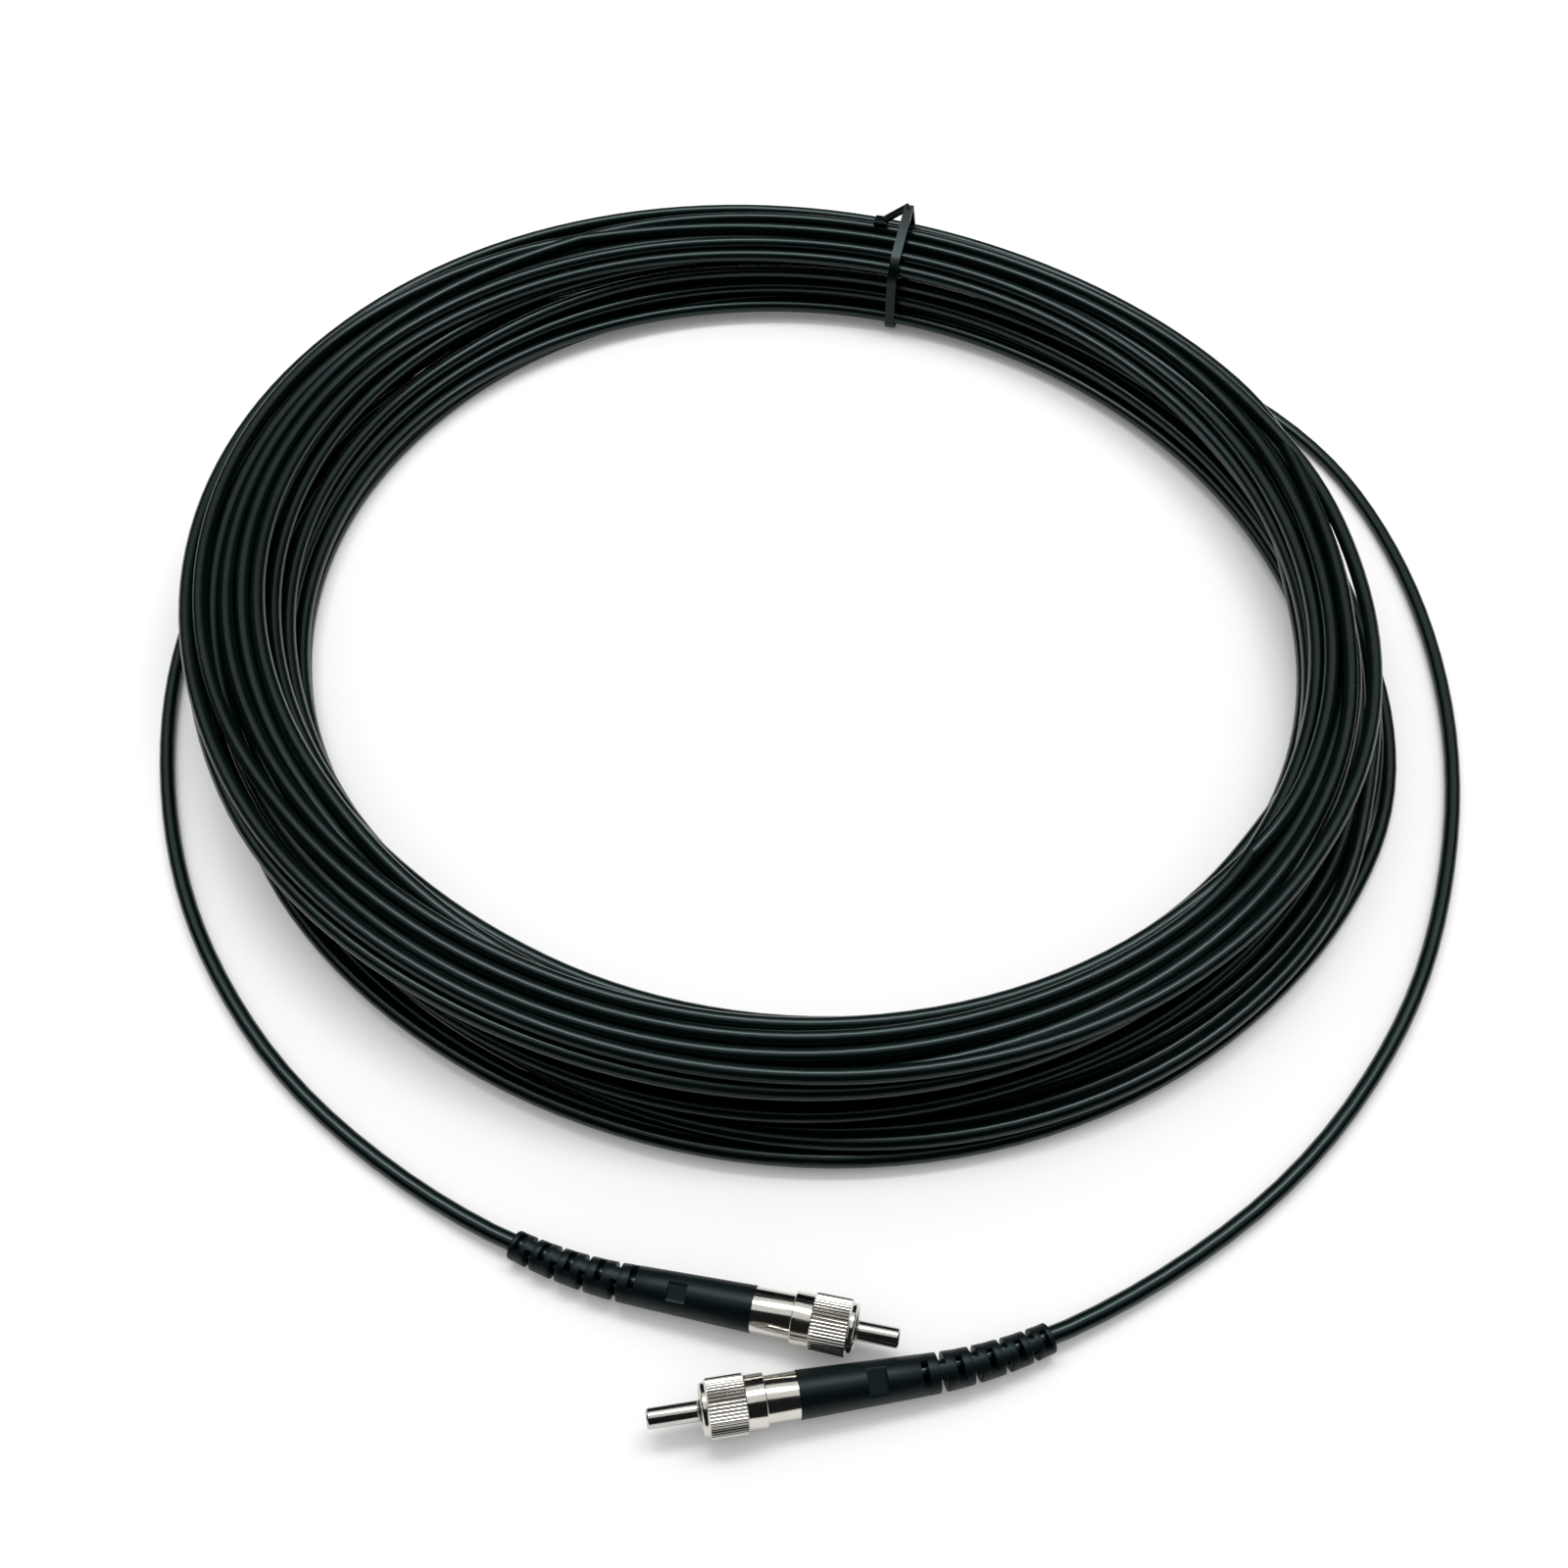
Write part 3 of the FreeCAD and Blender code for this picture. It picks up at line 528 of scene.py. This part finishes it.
def boot_grip(end):
    """The smooth front of the boot, with a shallow flat pad pressed into one side."""
    spigot_bore = SPIGOT_DIA / 2 + BOOT_CLEARANCE
    crimp_bore = CRIMP_DIA / 2 + BOOT_CLEARANCE
    crimp_end = SPIGOT_LENGTH + 2 * CRIMP_GAP + CRIMP_LENGTH
    grip_end = SLOT_FIRST - SLOT_WIDTH / 2
    pad_front, pad_back = PAD_STATION - PAD_LENGTH / 2, PAD_STATION + PAD_LENGTH / 2
    pad_stations = [pad_front - PAD_WALL, pad_front, pad_back, pad_back + PAD_WALL]
    skin = [(station, boot_skin(station)) for station in [0, BOOT_LIP, *pad_stations, grip_end]]
    grip = turned([(0, spigot_bore)] + skin + [
        (grip_end, CABLE_BORE),
        (crimp_end, CABLE_BORE),
        (crimp_end, crimp_bore),
        (SPIGOT_LENGTH, crimp_bore),
        (SPIGOT_LENGTH, spigot_bore),
    ], BOOT_EDGE, BOOT_STEPS)
    pad_floor = boot_skin(PAD_STATION) * math.cos(PAD_HALF_ARC[end]) - PAD_DEPTH
    for point in grip.verts:
        outside = math.hypot(point.co.y, point.co.z) > BOOT_SHOULDER_DIA / 2
        level = abs(point.co.x - PAD_STATION) < (PAD_LENGTH + PAD_WALL) / 2
        within = abs(math.atan2(-point.co.y, point.co.z)) < PAD_HALF_ARC[end] * PAD_ARC_SLACK
        if outside and level and within:
            point.co.z = pad_floor
    grip.transform(Matrix.Rotation(PAD_ROLL[end], 4, "X"))
    return grip


def boot_ring(k):
    """The ring behind a slot, and the distance from the boot's front to the ring's middle."""
    front = slot_station(k) + SLOT_WIDTH / 2
    back = slot_station(k + 1) - SLOT_WIDTH / 2 if k + 1 < SLOTS else BOOT_LENGTH
    half = (back - front) / 2
    ring = turned([
        (-half, CABLE_BORE),
        (-half, boot_skin(front)),
        (half, boot_skin(back)),
        (half, CABLE_BORE),
    ], BOOT_EDGE, BOOT_STEPS)
    return ring, (front + back) / 2


def boot_rib(k):
    """One of the two ribs across a slot, which bite into the rings on both its sides."""
    half = SLOT_WIDTH / 2 + RIB_BITE
    foot = CABLE_BORE + RIB_SETBACK
    return turned([
        (-half, foot),
        (-half, boot_skin(slot_station(k) - half) - RIB_SETBACK),
        (half, boot_skin(slot_station(k) + half) - RIB_SETBACK),
        (half, foot),
    ], BOOT_EDGE, RIB_STEPS, RIB_ARCS[k % 2])


def grained(tree, shader, coordinates, width, depth):
    """Roughens a finish with a fine even grain of a real width and depth."""
    grain = add_node(tree, "ShaderNodeTexNoise", {
        "Vector": coordinates,
        "Scale": 1 / width,
        "Detail": 2.0,
    })
    relief = add_node(tree, "ShaderNodeBump", {
        "Height": grain.outputs[0],
        "Strength": 1.0,
        "Distance": depth,
    })
    tree.links.new(relief.outputs[0], shader.inputs["Normal"])


def united(base, added):
    """One closed mesh from two groups of solids that overlap, as the mould makes them."""
    pair = []
    for part in (base, added):
        mesh = bpy.data.meshes.new("scrap")
        part.to_mesh(mesh)
        part.free()
        pair.append(bpy.data.objects.new("scrap", mesh))
        bpy.context.collection.objects.link(pair[-1])
    union = pair[0].modifiers.new("union", "BOOLEAN")
    union.operation, union.solver, union.object = "UNION", "EXACT", pair[1]
    fused = bmesh.new()
    fused.from_object(pair[0], bpy.context.evaluated_depsgraph_get())
    for part in pair:
        bpy.data.meshes.remove(part.data)
    return fused


# Moulded rubber, from a mould with a fine spark-eroded face: near black with a blue cast and a soft sheen
MOULD_GRAIN = 0.18 * MM
MOULD_DEPTH = 0.006 * MM
BLOOM_PATCH = 6.0 * MM
RUBBER_TINT = (0.68, 0.95, 0.94, 1.0)
moulded_rubber, tree, shader, coordinates = new_material("moulded_rubber", Specular_IOR_Level=0.21,
                                                         Specular_Tint=RUBBER_TINT)
patchy_finish(tree, shader, coordinates, width=BLOOM_PATCH,
              colours=("#02080a", "#060e11"), gloss=(0.36, 0.48), detail=5.0)
grained(tree, shader, coordinates, MOULD_GRAIN, MOULD_DEPTH)

for end in ENDS:
    place, bend_angle, bend_radius = boot_place(end)
    rings = bmesh.new()
    add_solid(rings, boot_grip(end), place @ Matrix.Translation((BOOT_FRONT, 0, 0)))
    ribs = bmesh.new()
    for k in range(SLOTS):
        ring, middle = boot_ring(k)
        add_solid(rings, ring, place @ boot_station(middle, bend_angle, bend_radius))
        across_slot = place @ boot_station(slot_station(k), bend_angle, bend_radius)
        for side in (0, math.pi):
            roll = SLOT_ROLL[end] + side + math.pi / 2 * (k % 2) - RIB_ARCS[k % 2] / 2
            add_solid(ribs, boot_rib(k), across_slot @ Matrix.Rotation(roll, 4, "X"))
    moulding = united(rings, ribs)
    finished_piece(f"slotted_boot_{end}", moulding, "cord", f"boot_{end}",
                                moulded_rubber)

# The cable
# One glass fibre in strength yarn under a round jacket of soft PVC, extruded black with a satin skin.
# It runs from boot b under the coil, round and round from the floor up, and down the outside to boot a.

# The coil: an oval ring of turns, longest along one heading and broadest where the turns spread
COIL_X, COIL_Y = -0.00493, 0.0216
COIL_RADIUS, COIL_STRETCH = 0.1169, 0.0046
STRETCH_HEADING = math.radians(122.5)
BUNDLE_WIDTH, WIDTH_STRETCH, WIDTH_SPREAD = 0.023, 0.00335, 0.005
SPREAD_HEADING = math.radians(166)
BULGE, BULGE_HEADING, BULGE_FOCUS = 0.003, math.radians(32), 8
BUNDLE_HEIGHT = 0.0205
BUNDLE_CORNER = 0.0065
TIE_HEADING = math.radians(75.2)
STRAP_LIFT = 0.0007
LIFT_ARC = math.radians(30)

# The winding: points to a turn, turns to a layer, and how far each turn strays from its place. The later
# turns make an upper ring, which leans over the lower one towards one heading and leaves a recess between
# the two rings' outer sides opposite. Beside the recess the lower ring's outer turns have slid outwards.
TURNS = 26
STATIONS = 30
TURNS_A_LAYER = 4.3
STRAY_RUN = 26
STRAY_SIDE, STRAY_UP = 0.0026, 0.001
TIED_ARC = math.radians(70)
TIED_SHARE = 0.2
UPPER_LEAN = 0.006
LEAN_HEADING = math.radians(130)
RING_PARTING = 0.3
RECESS_DEPTH, RECESS_HALF, RECESS_UP = 0.009, 0.0055, 0.001
SLIDE, SLIDE_HEADING, SLIDE_FOCUS = 0.0043, math.radians(-20), 20
LAST_FALL = 0.8
WINDING_SEED = 7

# The pressing: how far apart the turns end, and how strongly each step pushes them apart, pulls them to
# their places and evens them out along the cable
CLEAR_DIA = 1.06 * CABLE_DIA
FLOOR_CORNER = 0.0005
PRESS_STEPS = 300
PUSH_APART = 0.3
PULL_HOME = 0.03
EVEN_OUT, EVEN_MORE = 0.1, 0.4
TINY = 1e-9

# The cable's mesh: steps from one point of the curve to the next, and steps in a quarter of its section
CURVE_STEPS = 5
QUARTER_STEPS = 8


def heading_of(point):
    """The heading of a point seen from the coil's middle."""
    return math.atan2(point[1] - COIL_Y, point[0] - COIL_X)


def wound_turns():
    """The coil's points: turns laid across the bundle layer by layer, then pressed apart till they clear."""
    pitch = 2 * math.pi / STATIONS
    heading_b, heading_a = heading_of(ROUTES["b"][-1]), heading_of(ROUTES["a"][-1])
    count = int((2 * math.pi * TURNS + heading_b - heading_a) / pitch)
    turn = np.arange(1, count + 1) / STATIONS
    heading = heading_b - 2 * math.pi * turn
    along = np.cos(2 * (heading - STRETCH_HEADING))
    bulge = BULGE * np.clip(np.cos(heading - BULGE_HEADING), 0, 1) ** BULGE_FOCUS
    spread = WIDTH_SPREAD * np.cos(heading - SPREAD_HEADING)
    width = BUNDLE_WIDTH + WIDTH_STRETCH * along + spread + bulge - CABLE_DIA
    from_tie = np.arccos(np.cos(heading - TIE_HEADING))
    bottom = STRAP_LIFT * np.clip(1 - from_tie / LIFT_ARC, 0, 1) + CABLE_DIA / 2
    top = BUNDLE_HEIGHT - CABLE_DIA / 2

    chance = np.random.default_rng(WINDING_SEED)
    window = np.hanning(STRAY_RUN)
    window /= np.linalg.norm(window)
    stray = [np.convolve(chance.normal(0, 1, count + STRAY_RUN - 1), window, "valid") for _ in range(2)]
    loose = np.clip(from_tie / TIED_ARC, TIED_SHARE, 1)
    level = 2 * turn / turn[-1] - 1
    ring = np.sign(level) * np.abs(level) ** RING_PARTING
    lean = UPPER_LEAN * loose * np.cos(heading - LEAN_HEADING)
    falling = np.clip((turn - turn[-1]) / LAST_FALL + 1, 0, 1) ** 2
    across = 2 * np.abs(turn / TURNS_A_LAYER % 2 - 1) - 1
    across += (1 - across) * falling
    target = np.stack([
        across * (width / 2 - np.abs(lean)) + lean * ring + STRAY_SIDE * loose * stray[0],
        bottom + (top - bottom) * (1 + ring) / 2 * (1 - falling) + STRAY_UP * loose * stray[1],
    ], axis=1)

    strands = -(-count // STATIONS)
    places = np.full((strands * STATIONS, 2), 1.0)
    places[:count] = target
    middle = np.stack([np.zeros(count), (bottom + top) / 2], axis=1)
    half = np.stack([width / 2, (top - bottom) / 2], axis=1)
    recess = RECESS_DEPTH * np.clip(-np.cos(heading - LEAN_HEADING), 0, 1)
    for hold in np.linspace(1, 0, PRESS_STEPS):
        drift = (1 - PULL_HOME * hold) * (places[:count] - target)
        drift[1:-1] += (EVEN_OUT + EVEN_MORE * hold) * ((drift[2:] + drift[:-2]) / 2 - drift[1:-1])
        places[:count] = target + drift
        section = places.reshape(strands, STATIONS, 2).swapaxes(0, 1)
        apart = section[:, :, None] - section[:, None]
        distance = np.linalg.norm(apart, axis=3) + TINY
        press = np.clip(CLEAR_DIA - distance, 0, None) / distance
        section = section + PUSH_APART * (apart * press[..., None]).sum(axis=2)
        places = section.swapaxes(0, 1).reshape(-1, 2)
        offset = places[:count] - middle
        corner = np.where(offset[:, 1:] > 0, BUNDLE_CORNER - CABLE_DIA / 2, FLOOR_CORNER)
        level_share = np.clip(1 - ((offset[:, 1] - RECESS_UP) / RECESS_HALF) ** 2, 0, 1)
        waist = recess * level_share * (offset[:, 0] > 0)
        room = half - np.stack([waist, np.zeros(count)], axis=1)
        beyond = np.clip(np.abs(offset) - (room - corner), 0, None)
        reach = np.linalg.norm(beyond, axis=1, keepdims=True) + TINY
        places[:count] -= np.sign(offset) * beyond / reach * np.clip(reach - corner, 0, None)

    outer_share = np.clip(2 * places[:count, 0] / width, 0, 1)
    slid = SLIDE * np.clip(np.cos(heading - SLIDE_HEADING), 0, 1) ** SLIDE_FOCUS * outer_share
    # A quadratic spline passes inside its points, so they stand that much further out
    spline_share = 0.75 + 0.25 * math.cos(pitch)
    radius = (COIL_RADIUS + COIL_STRETCH * along + bulge / 2 + places[:count, 0] + slid) / spline_share
    across_floor = [COIL_X + radius * np.cos(heading), COIL_Y + radius * np.sin(heading)]
    return np.stack([*across_floor, places[:count, 1]], axis=1)


route = first_points("b") + ROUTES["b"] + list(wound_turns()) + ROUTES["a"][::-1] + first_points("a")[::-1]
cable_curve = bpy.data.curves.new("cable", "CURVE")
cable_curve.dimensions = "3D"
cable_curve.bevel_depth = CABLE_DIA / 2
cable_curve.bevel_resolution = QUARTER_STEPS
cable_curve.resolution_u = CURVE_STEPS
cable_curve.use_fill_caps = True
spline = cable_curve.splines.new("NURBS")
spline.points.add(len(route) - 1)
for point, place in zip(spline.points, route):
    point.co = (*place, 1.0)
spline.order_u = 3
spline.use_endpoint_u = True
cable = bpy.data.objects.new("cable", cable_curve)
bpy.context.collection.objects.link(cable)

# Soft PVC, extruded: black with a green cast, a satin skin and a soft gleam, dulled a little in patches
JACKET_GRAIN = 0.6 * MM
JACKET_DEPTH = 0.0015 * MM
HANDLED_PATCH = 12.0 * MM
BLACK_TINT = (0.7, 0.93, 0.92, 1.0)
pvc_jacket, tree, shader, coordinates = new_material("pvc_jacket", Specular_IOR_Level=0.36,
                                                     Specular_Tint=BLACK_TINT)
patchy_finish(tree, shader, coordinates, width=HANDLED_PATCH, colours=("#000a08", "#020d0b"),
              gloss=(0.22, 0.29), detail=4.0, spread=NOISE_SPREAD)
grained(tree, shader, coordinates, JACKET_GRAIN, JACKET_DEPTH)
cable.data.materials.append(pvc_jacket)
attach(cable, "cord")
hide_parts("coil", "tail_a", "tail_b")

# The cable tie
# A narrow strap of black nylon round the bundle, moulded in one piece with its head, pulled up to a peak
# over the turns and through the head, which lies beside the peak.

STRAP_WIDTH = 2.3 * MM
STRAP_THICKNESS = 0.6 * MM
STRAP_EDGE = 0.15 * MM
STRAP_WELD = 0.015 * MM
STRAP_FOOT = 2.0 * MM
INNER_FOOT = 3.4 * MM
APEX_OUT = 6.5 * MM
APEX_RISE = 4.5 * MM
BEND_STEPS = 8
FOLD_STEPS = 6
HEAD_LENGTH, HEAD_WIDTH, HEAD_HEIGHT = 3.4 * MM, 3.2 * MM, 1.3 * MM
HEAD_OUT, HEAD_OFFSET = 4.6 * MM, 6.5 * MM
TONGUE_THICKNESS = 0.9 * MM


def tie_strap():
    """The strap's loop in a frame with X out of the coil and Z up: runs and bends of one flat section."""
    along = math.cos(2 * (TIE_HEADING - STRETCH_HEADING))
    half = (BUNDLE_WIDTH + WIDTH_STRETCH * along + WIDTH_SPREAD * math.cos(TIE_HEADING - SPREAD_HEADING)) / 2
    apex = Vector((APEX_OUT, 0, BUNDLE_HEIGHT + APEX_RISE))
    strap = bmesh.new()
    front = [strap.verts.new((0, side * STRAP_WIDTH / 2, STRAP_LIFT - deep))
             for side, deep in ((-1, 0), (1, 0), (1, STRAP_THICKNESS), (-1, STRAP_THICKNESS))]
    rim = [strap.edges.new((front[k - 1], front[k])) for k in range(4)]

    def run(way):
        """Carries the strap straight on."""
        nonlocal rim
        grown = bmesh.ops.extrude_edge_only(strap, edges=rim)["geom"]
        bmesh.ops.translate(strap, vec=way, verts=[g for g in grown if isinstance(g, bmesh.types.BMVert)])
        rim = [g for g in grown if isinstance(g, bmesh.types.BMEdge)]

    def bend(centre, angle, steps=BEND_STEPS):
        """Carries the strap round a corner."""
        nonlocal rim
        corners = list({corner for side in rim for corner in side.verts})
        grown = bmesh.ops.spin(strap, geom=corners + rim, cent=centre, axis=(0, -1, 0), angle=angle,
                               steps=steps)
        rim = [g for g in grown["geom_last"] if isinstance(g, bmesh.types.BMEdge)]

    def leaning(side):
        """The bundle's top corner, the strap's lean as it leaves it, and the run from there to the peak."""
        centre = Vector((side * (half - BUNDLE_CORNER), 0, BUNDLE_HEIGHT - BUNDLE_CORNER))
        to_apex = apex - centre
        lean = math.atan2(to_apex.z, to_apex.x) - side * math.acos(BUNDLE_CORNER / to_apex.length)
        return centre, lean, math.sqrt(to_apex.length ** 2 - BUNDLE_CORNER ** 2)

    wall_top = BUNDLE_HEIGHT - BUNDLE_CORNER
    out_centre, out_lean, out_run = leaning(1)
    in_centre, in_lean, in_run = leaning(-1)
    foot_height, inner_foot_height = STRAP_LIFT + STRAP_FOOT, STRAP_LIFT + INNER_FOOT
    run((half - STRAP_FOOT, 0, 0))
    bend((half - STRAP_FOOT, 0, foot_height), math.pi / 2)
    run((0, 0, wall_top - foot_height))
    bend(out_centre, out_lean)
    run(Vector((-math.sin(out_lean), 0, math.cos(out_lean))) * out_run)
    bend(apex, in_lean - out_lean, FOLD_STEPS)
    run(Vector((-math.sin(in_lean), 0, math.cos(in_lean))) * in_run)
    bend(in_centre, math.pi - in_lean)
    run((0, 0, inner_foot_height - wall_top))
    bend((INNER_FOOT - half, 0, inner_foot_height), math.pi / 2)
    run((half - INNER_FOOT, 0, 0))
    bmesh.ops.remove_doubles(strap, verts=strap.verts, dist=STRAP_WELD)
    bmesh.ops.recalc_face_normals(strap, faces=strap.faces)
    return strap, apex


def block(length, width, height, place):
    """A moulded block with softened edges, its middle at the place."""
    shape = bmesh.new()
    bmesh.ops.create_cube(shape, size=1)
    bmesh.ops.scale(shape, vec=(length, width, height), verts=shape.verts)
    bmesh.ops.bevel(shape, geom=shape.edges[:], offset=STRAP_EDGE, segments=2, profile=0.5, affect="EDGES",
                    material=-1)
    shape.transform(place)
    return shape


strap, apex = tie_strap()
head_middle = Vector((HEAD_OUT, HEAD_OFFSET, BUNDLE_HEIGHT + HEAD_HEIGHT / 2))
add_solid(strap, block(HEAD_WIDTH, HEAD_LENGTH, HEAD_HEIGHT, Matrix.Translation(head_middle)))
peak = apex + Vector((0, 0, STRAP_THICKNESS / 2))
fall = head_middle - peak
tongue_turn = fall.to_track_quat("Y", "Z").to_matrix().to_4x4()
tongue_place = Matrix.Translation((peak + head_middle) / 2) @ tongue_turn
add_solid(strap, block(STRAP_WIDTH, fall.length, TONGUE_THICKNESS, tongue_place))
tie_radius = COIL_RADIUS + COIL_STRETCH * math.cos(2 * (TIE_HEADING - STRETCH_HEADING))
tie_foot = (COIL_X + tie_radius * math.cos(TIE_HEADING), COIL_Y + tie_radius * math.sin(TIE_HEADING), 0)
strap.transform(Matrix.Translation(tie_foot) @ Matrix.Rotation(TIE_HEADING, 4, "Z"))

# Nylon, moulded: black with a satin skin that shows faint flow marks
FLOW_MARK = 1.2 * MM
black_nylon, tree, shader, coordinates = new_material("black_nylon", Specular_IOR_Level=0.25,
                                                      Specular_Tint=BLACK_TINT)
patchy_finish(tree, shader, coordinates, width=FLOW_MARK,
              colours=("#010505", "#030808"), gloss=(0.25, 0.36), detail=3.0)
finished_piece("nylon_tie", strap, "cord", "cable_tie", black_nylon)

# The floor
# A white studio table, pale to its edges, on which the cord lies loose. It keeps the lamps' soft shadow of
# the cord, and a painted soft shadow darkens it further round the cord.

FLOOR_HALF = 4.0
# How far the painted shade round the cord reaches and its samples, then the lifts: under the painted shade,
# lit nearby, and far out
SHADE_REACH, SHADE_SAMPLES = 0.05, 8
LIT_REACH, DARK_REACH = 0.25, 1.0
SHADED_LIFT, LIT_LIFT, DARK_LIFT = 0.1, 0.56, 1.0
floor_shape = bmesh.new()
bmesh.ops.create_grid(floor_shape, x_segments=1, y_segments=1, size=FLOOR_HALF)
floor_mesh = bpy.data.meshes.new("floor")
floor_shape.to_mesh(floor_mesh)
floor_shape.free()
floor = bpy.data.objects.new("floor", floor_mesh)
bpy.context.collection.objects.link(floor)
# Matt laminate, lifted to white where it is seen, and more further out, where the lamps don't reach. Beside
# the cord the lift is dimmed by ambient occlusion: painted shade, a soft shadow added to the lamps' real one
white_table, tree, shader, coordinates = new_material("white_table", Base_Color=linear("#b8b8b8"),
                                                      Roughness=0.9)
# Painted shade: the glow falls towards the lowest lift wherever the cord is near, so the floor darkens round
# it
painted_shade = add_node(tree, "ShaderNodeAmbientOcclusion", {"Distance": SHADE_REACH}, samples=SHADE_SAMPLES)
light_path = add_node(tree, "ShaderNodeLightPath")
seen = light_path.outputs["Is Camera Ray"]
for ray in ("Is Glossy Ray", "Is Transmission Ray"):
    either = add_node(tree, "ShaderNodeMath", {0: seen, 1: light_path.outputs[ray]}, operation="MAXIMUM")
    seen = either.outputs[0]
reach = add_node(tree, "ShaderNodeVectorMath", {0: coordinates}, operation="LENGTH")
far = add_node(tree, "ShaderNodeMapRange", {
    "Value": reach.outputs["Value"],
    "From Min": LIT_REACH,
    "From Max": DARK_REACH,
    "To Min": LIT_LIFT,
    "To Max": DARK_LIFT,
})
lift = add_node(tree, "ShaderNodeMapRange", {
    "Value": painted_shade.outputs["AO"],
    "To Min": SHADED_LIFT,
    "To Max": far.outputs[0],
})
lift = add_node(tree, "ShaderNodeMath", {0: lift.outputs[0], 1: seen}, operation="MULTIPLY")
shader.inputs["Emission Color"].default_value = (1, 1, 1, 1)
tree.links.new(lift.outputs[0], shader.inputs["Emission Strength"])
floor_mesh.materials.append(white_table)

# The light
# A bright narrow soft box above and a little behind, which draws the gleam along each turn, and a broad dim
# ceiling. The room itself is dark to the metal, as in the photograph, and white to the camera.

ROOM_LIGHT = 0.012


def add_panel(name, place, size, watts):
    """A rectangular light at a place, turned to the middle of the floor."""
    light = bpy.data.lights.new(name, "AREA")
    light.shape = "RECTANGLE"
    light.size, light.size_y = size
    light.energy = watts
    panel = bpy.data.objects.new(name, light)
    panel.location = place
    panel.rotation_euler = (-panel.location).to_track_quat("-Z", "Y").to_euler()
    bpy.context.collection.objects.link(panel)


add_panel("soft_box", place=(0.0, 0.27, 0.95), size=(1.1, 0.25), watts=9.0)
add_panel("ceiling", place=(0.0, 0.25, 1.0), size=(2.6, 1.5), watts=9.75)

world = bpy.data.worlds.new("pale_room")
world.use_nodes = True
bpy.context.scene.world = world
tree = world.node_tree
light_path = add_node(tree, "ShaderNodeLightPath")
strength = add_node(tree, "ShaderNodeMapRange", {
    "Value": light_path.outputs["Is Camera Ray"],
    "To Min": ROOM_LIGHT,
    "To Max": 1.0,
})
tree.links.new(strength.outputs[0], tree.nodes["Background"].inputs["Strength"])
tree.nodes["Background"].inputs["Color"].default_value = (1, 1, 1, 1)

# The camera
# It stands above the near side, where the connectors lie, and looks down into the coil.

LENS_MM = 38.37
CAMERA_PLACE = (-0.0049, -0.2315, 0.2663)
CAMERA_TILT = math.radians(38)
camera_data = bpy.data.cameras.new("camera")
camera_data.lens = LENS_MM
camera = bpy.data.objects.new("camera", camera_data)
camera.location = CAMERA_PLACE
camera.rotation_euler = (CAMERA_TILT, 0, 0)
bpy.context.collection.objects.link(camera)
bpy.context.scene.camera = camera

bpy.context.scene.view_settings.view_transform = "Standard"
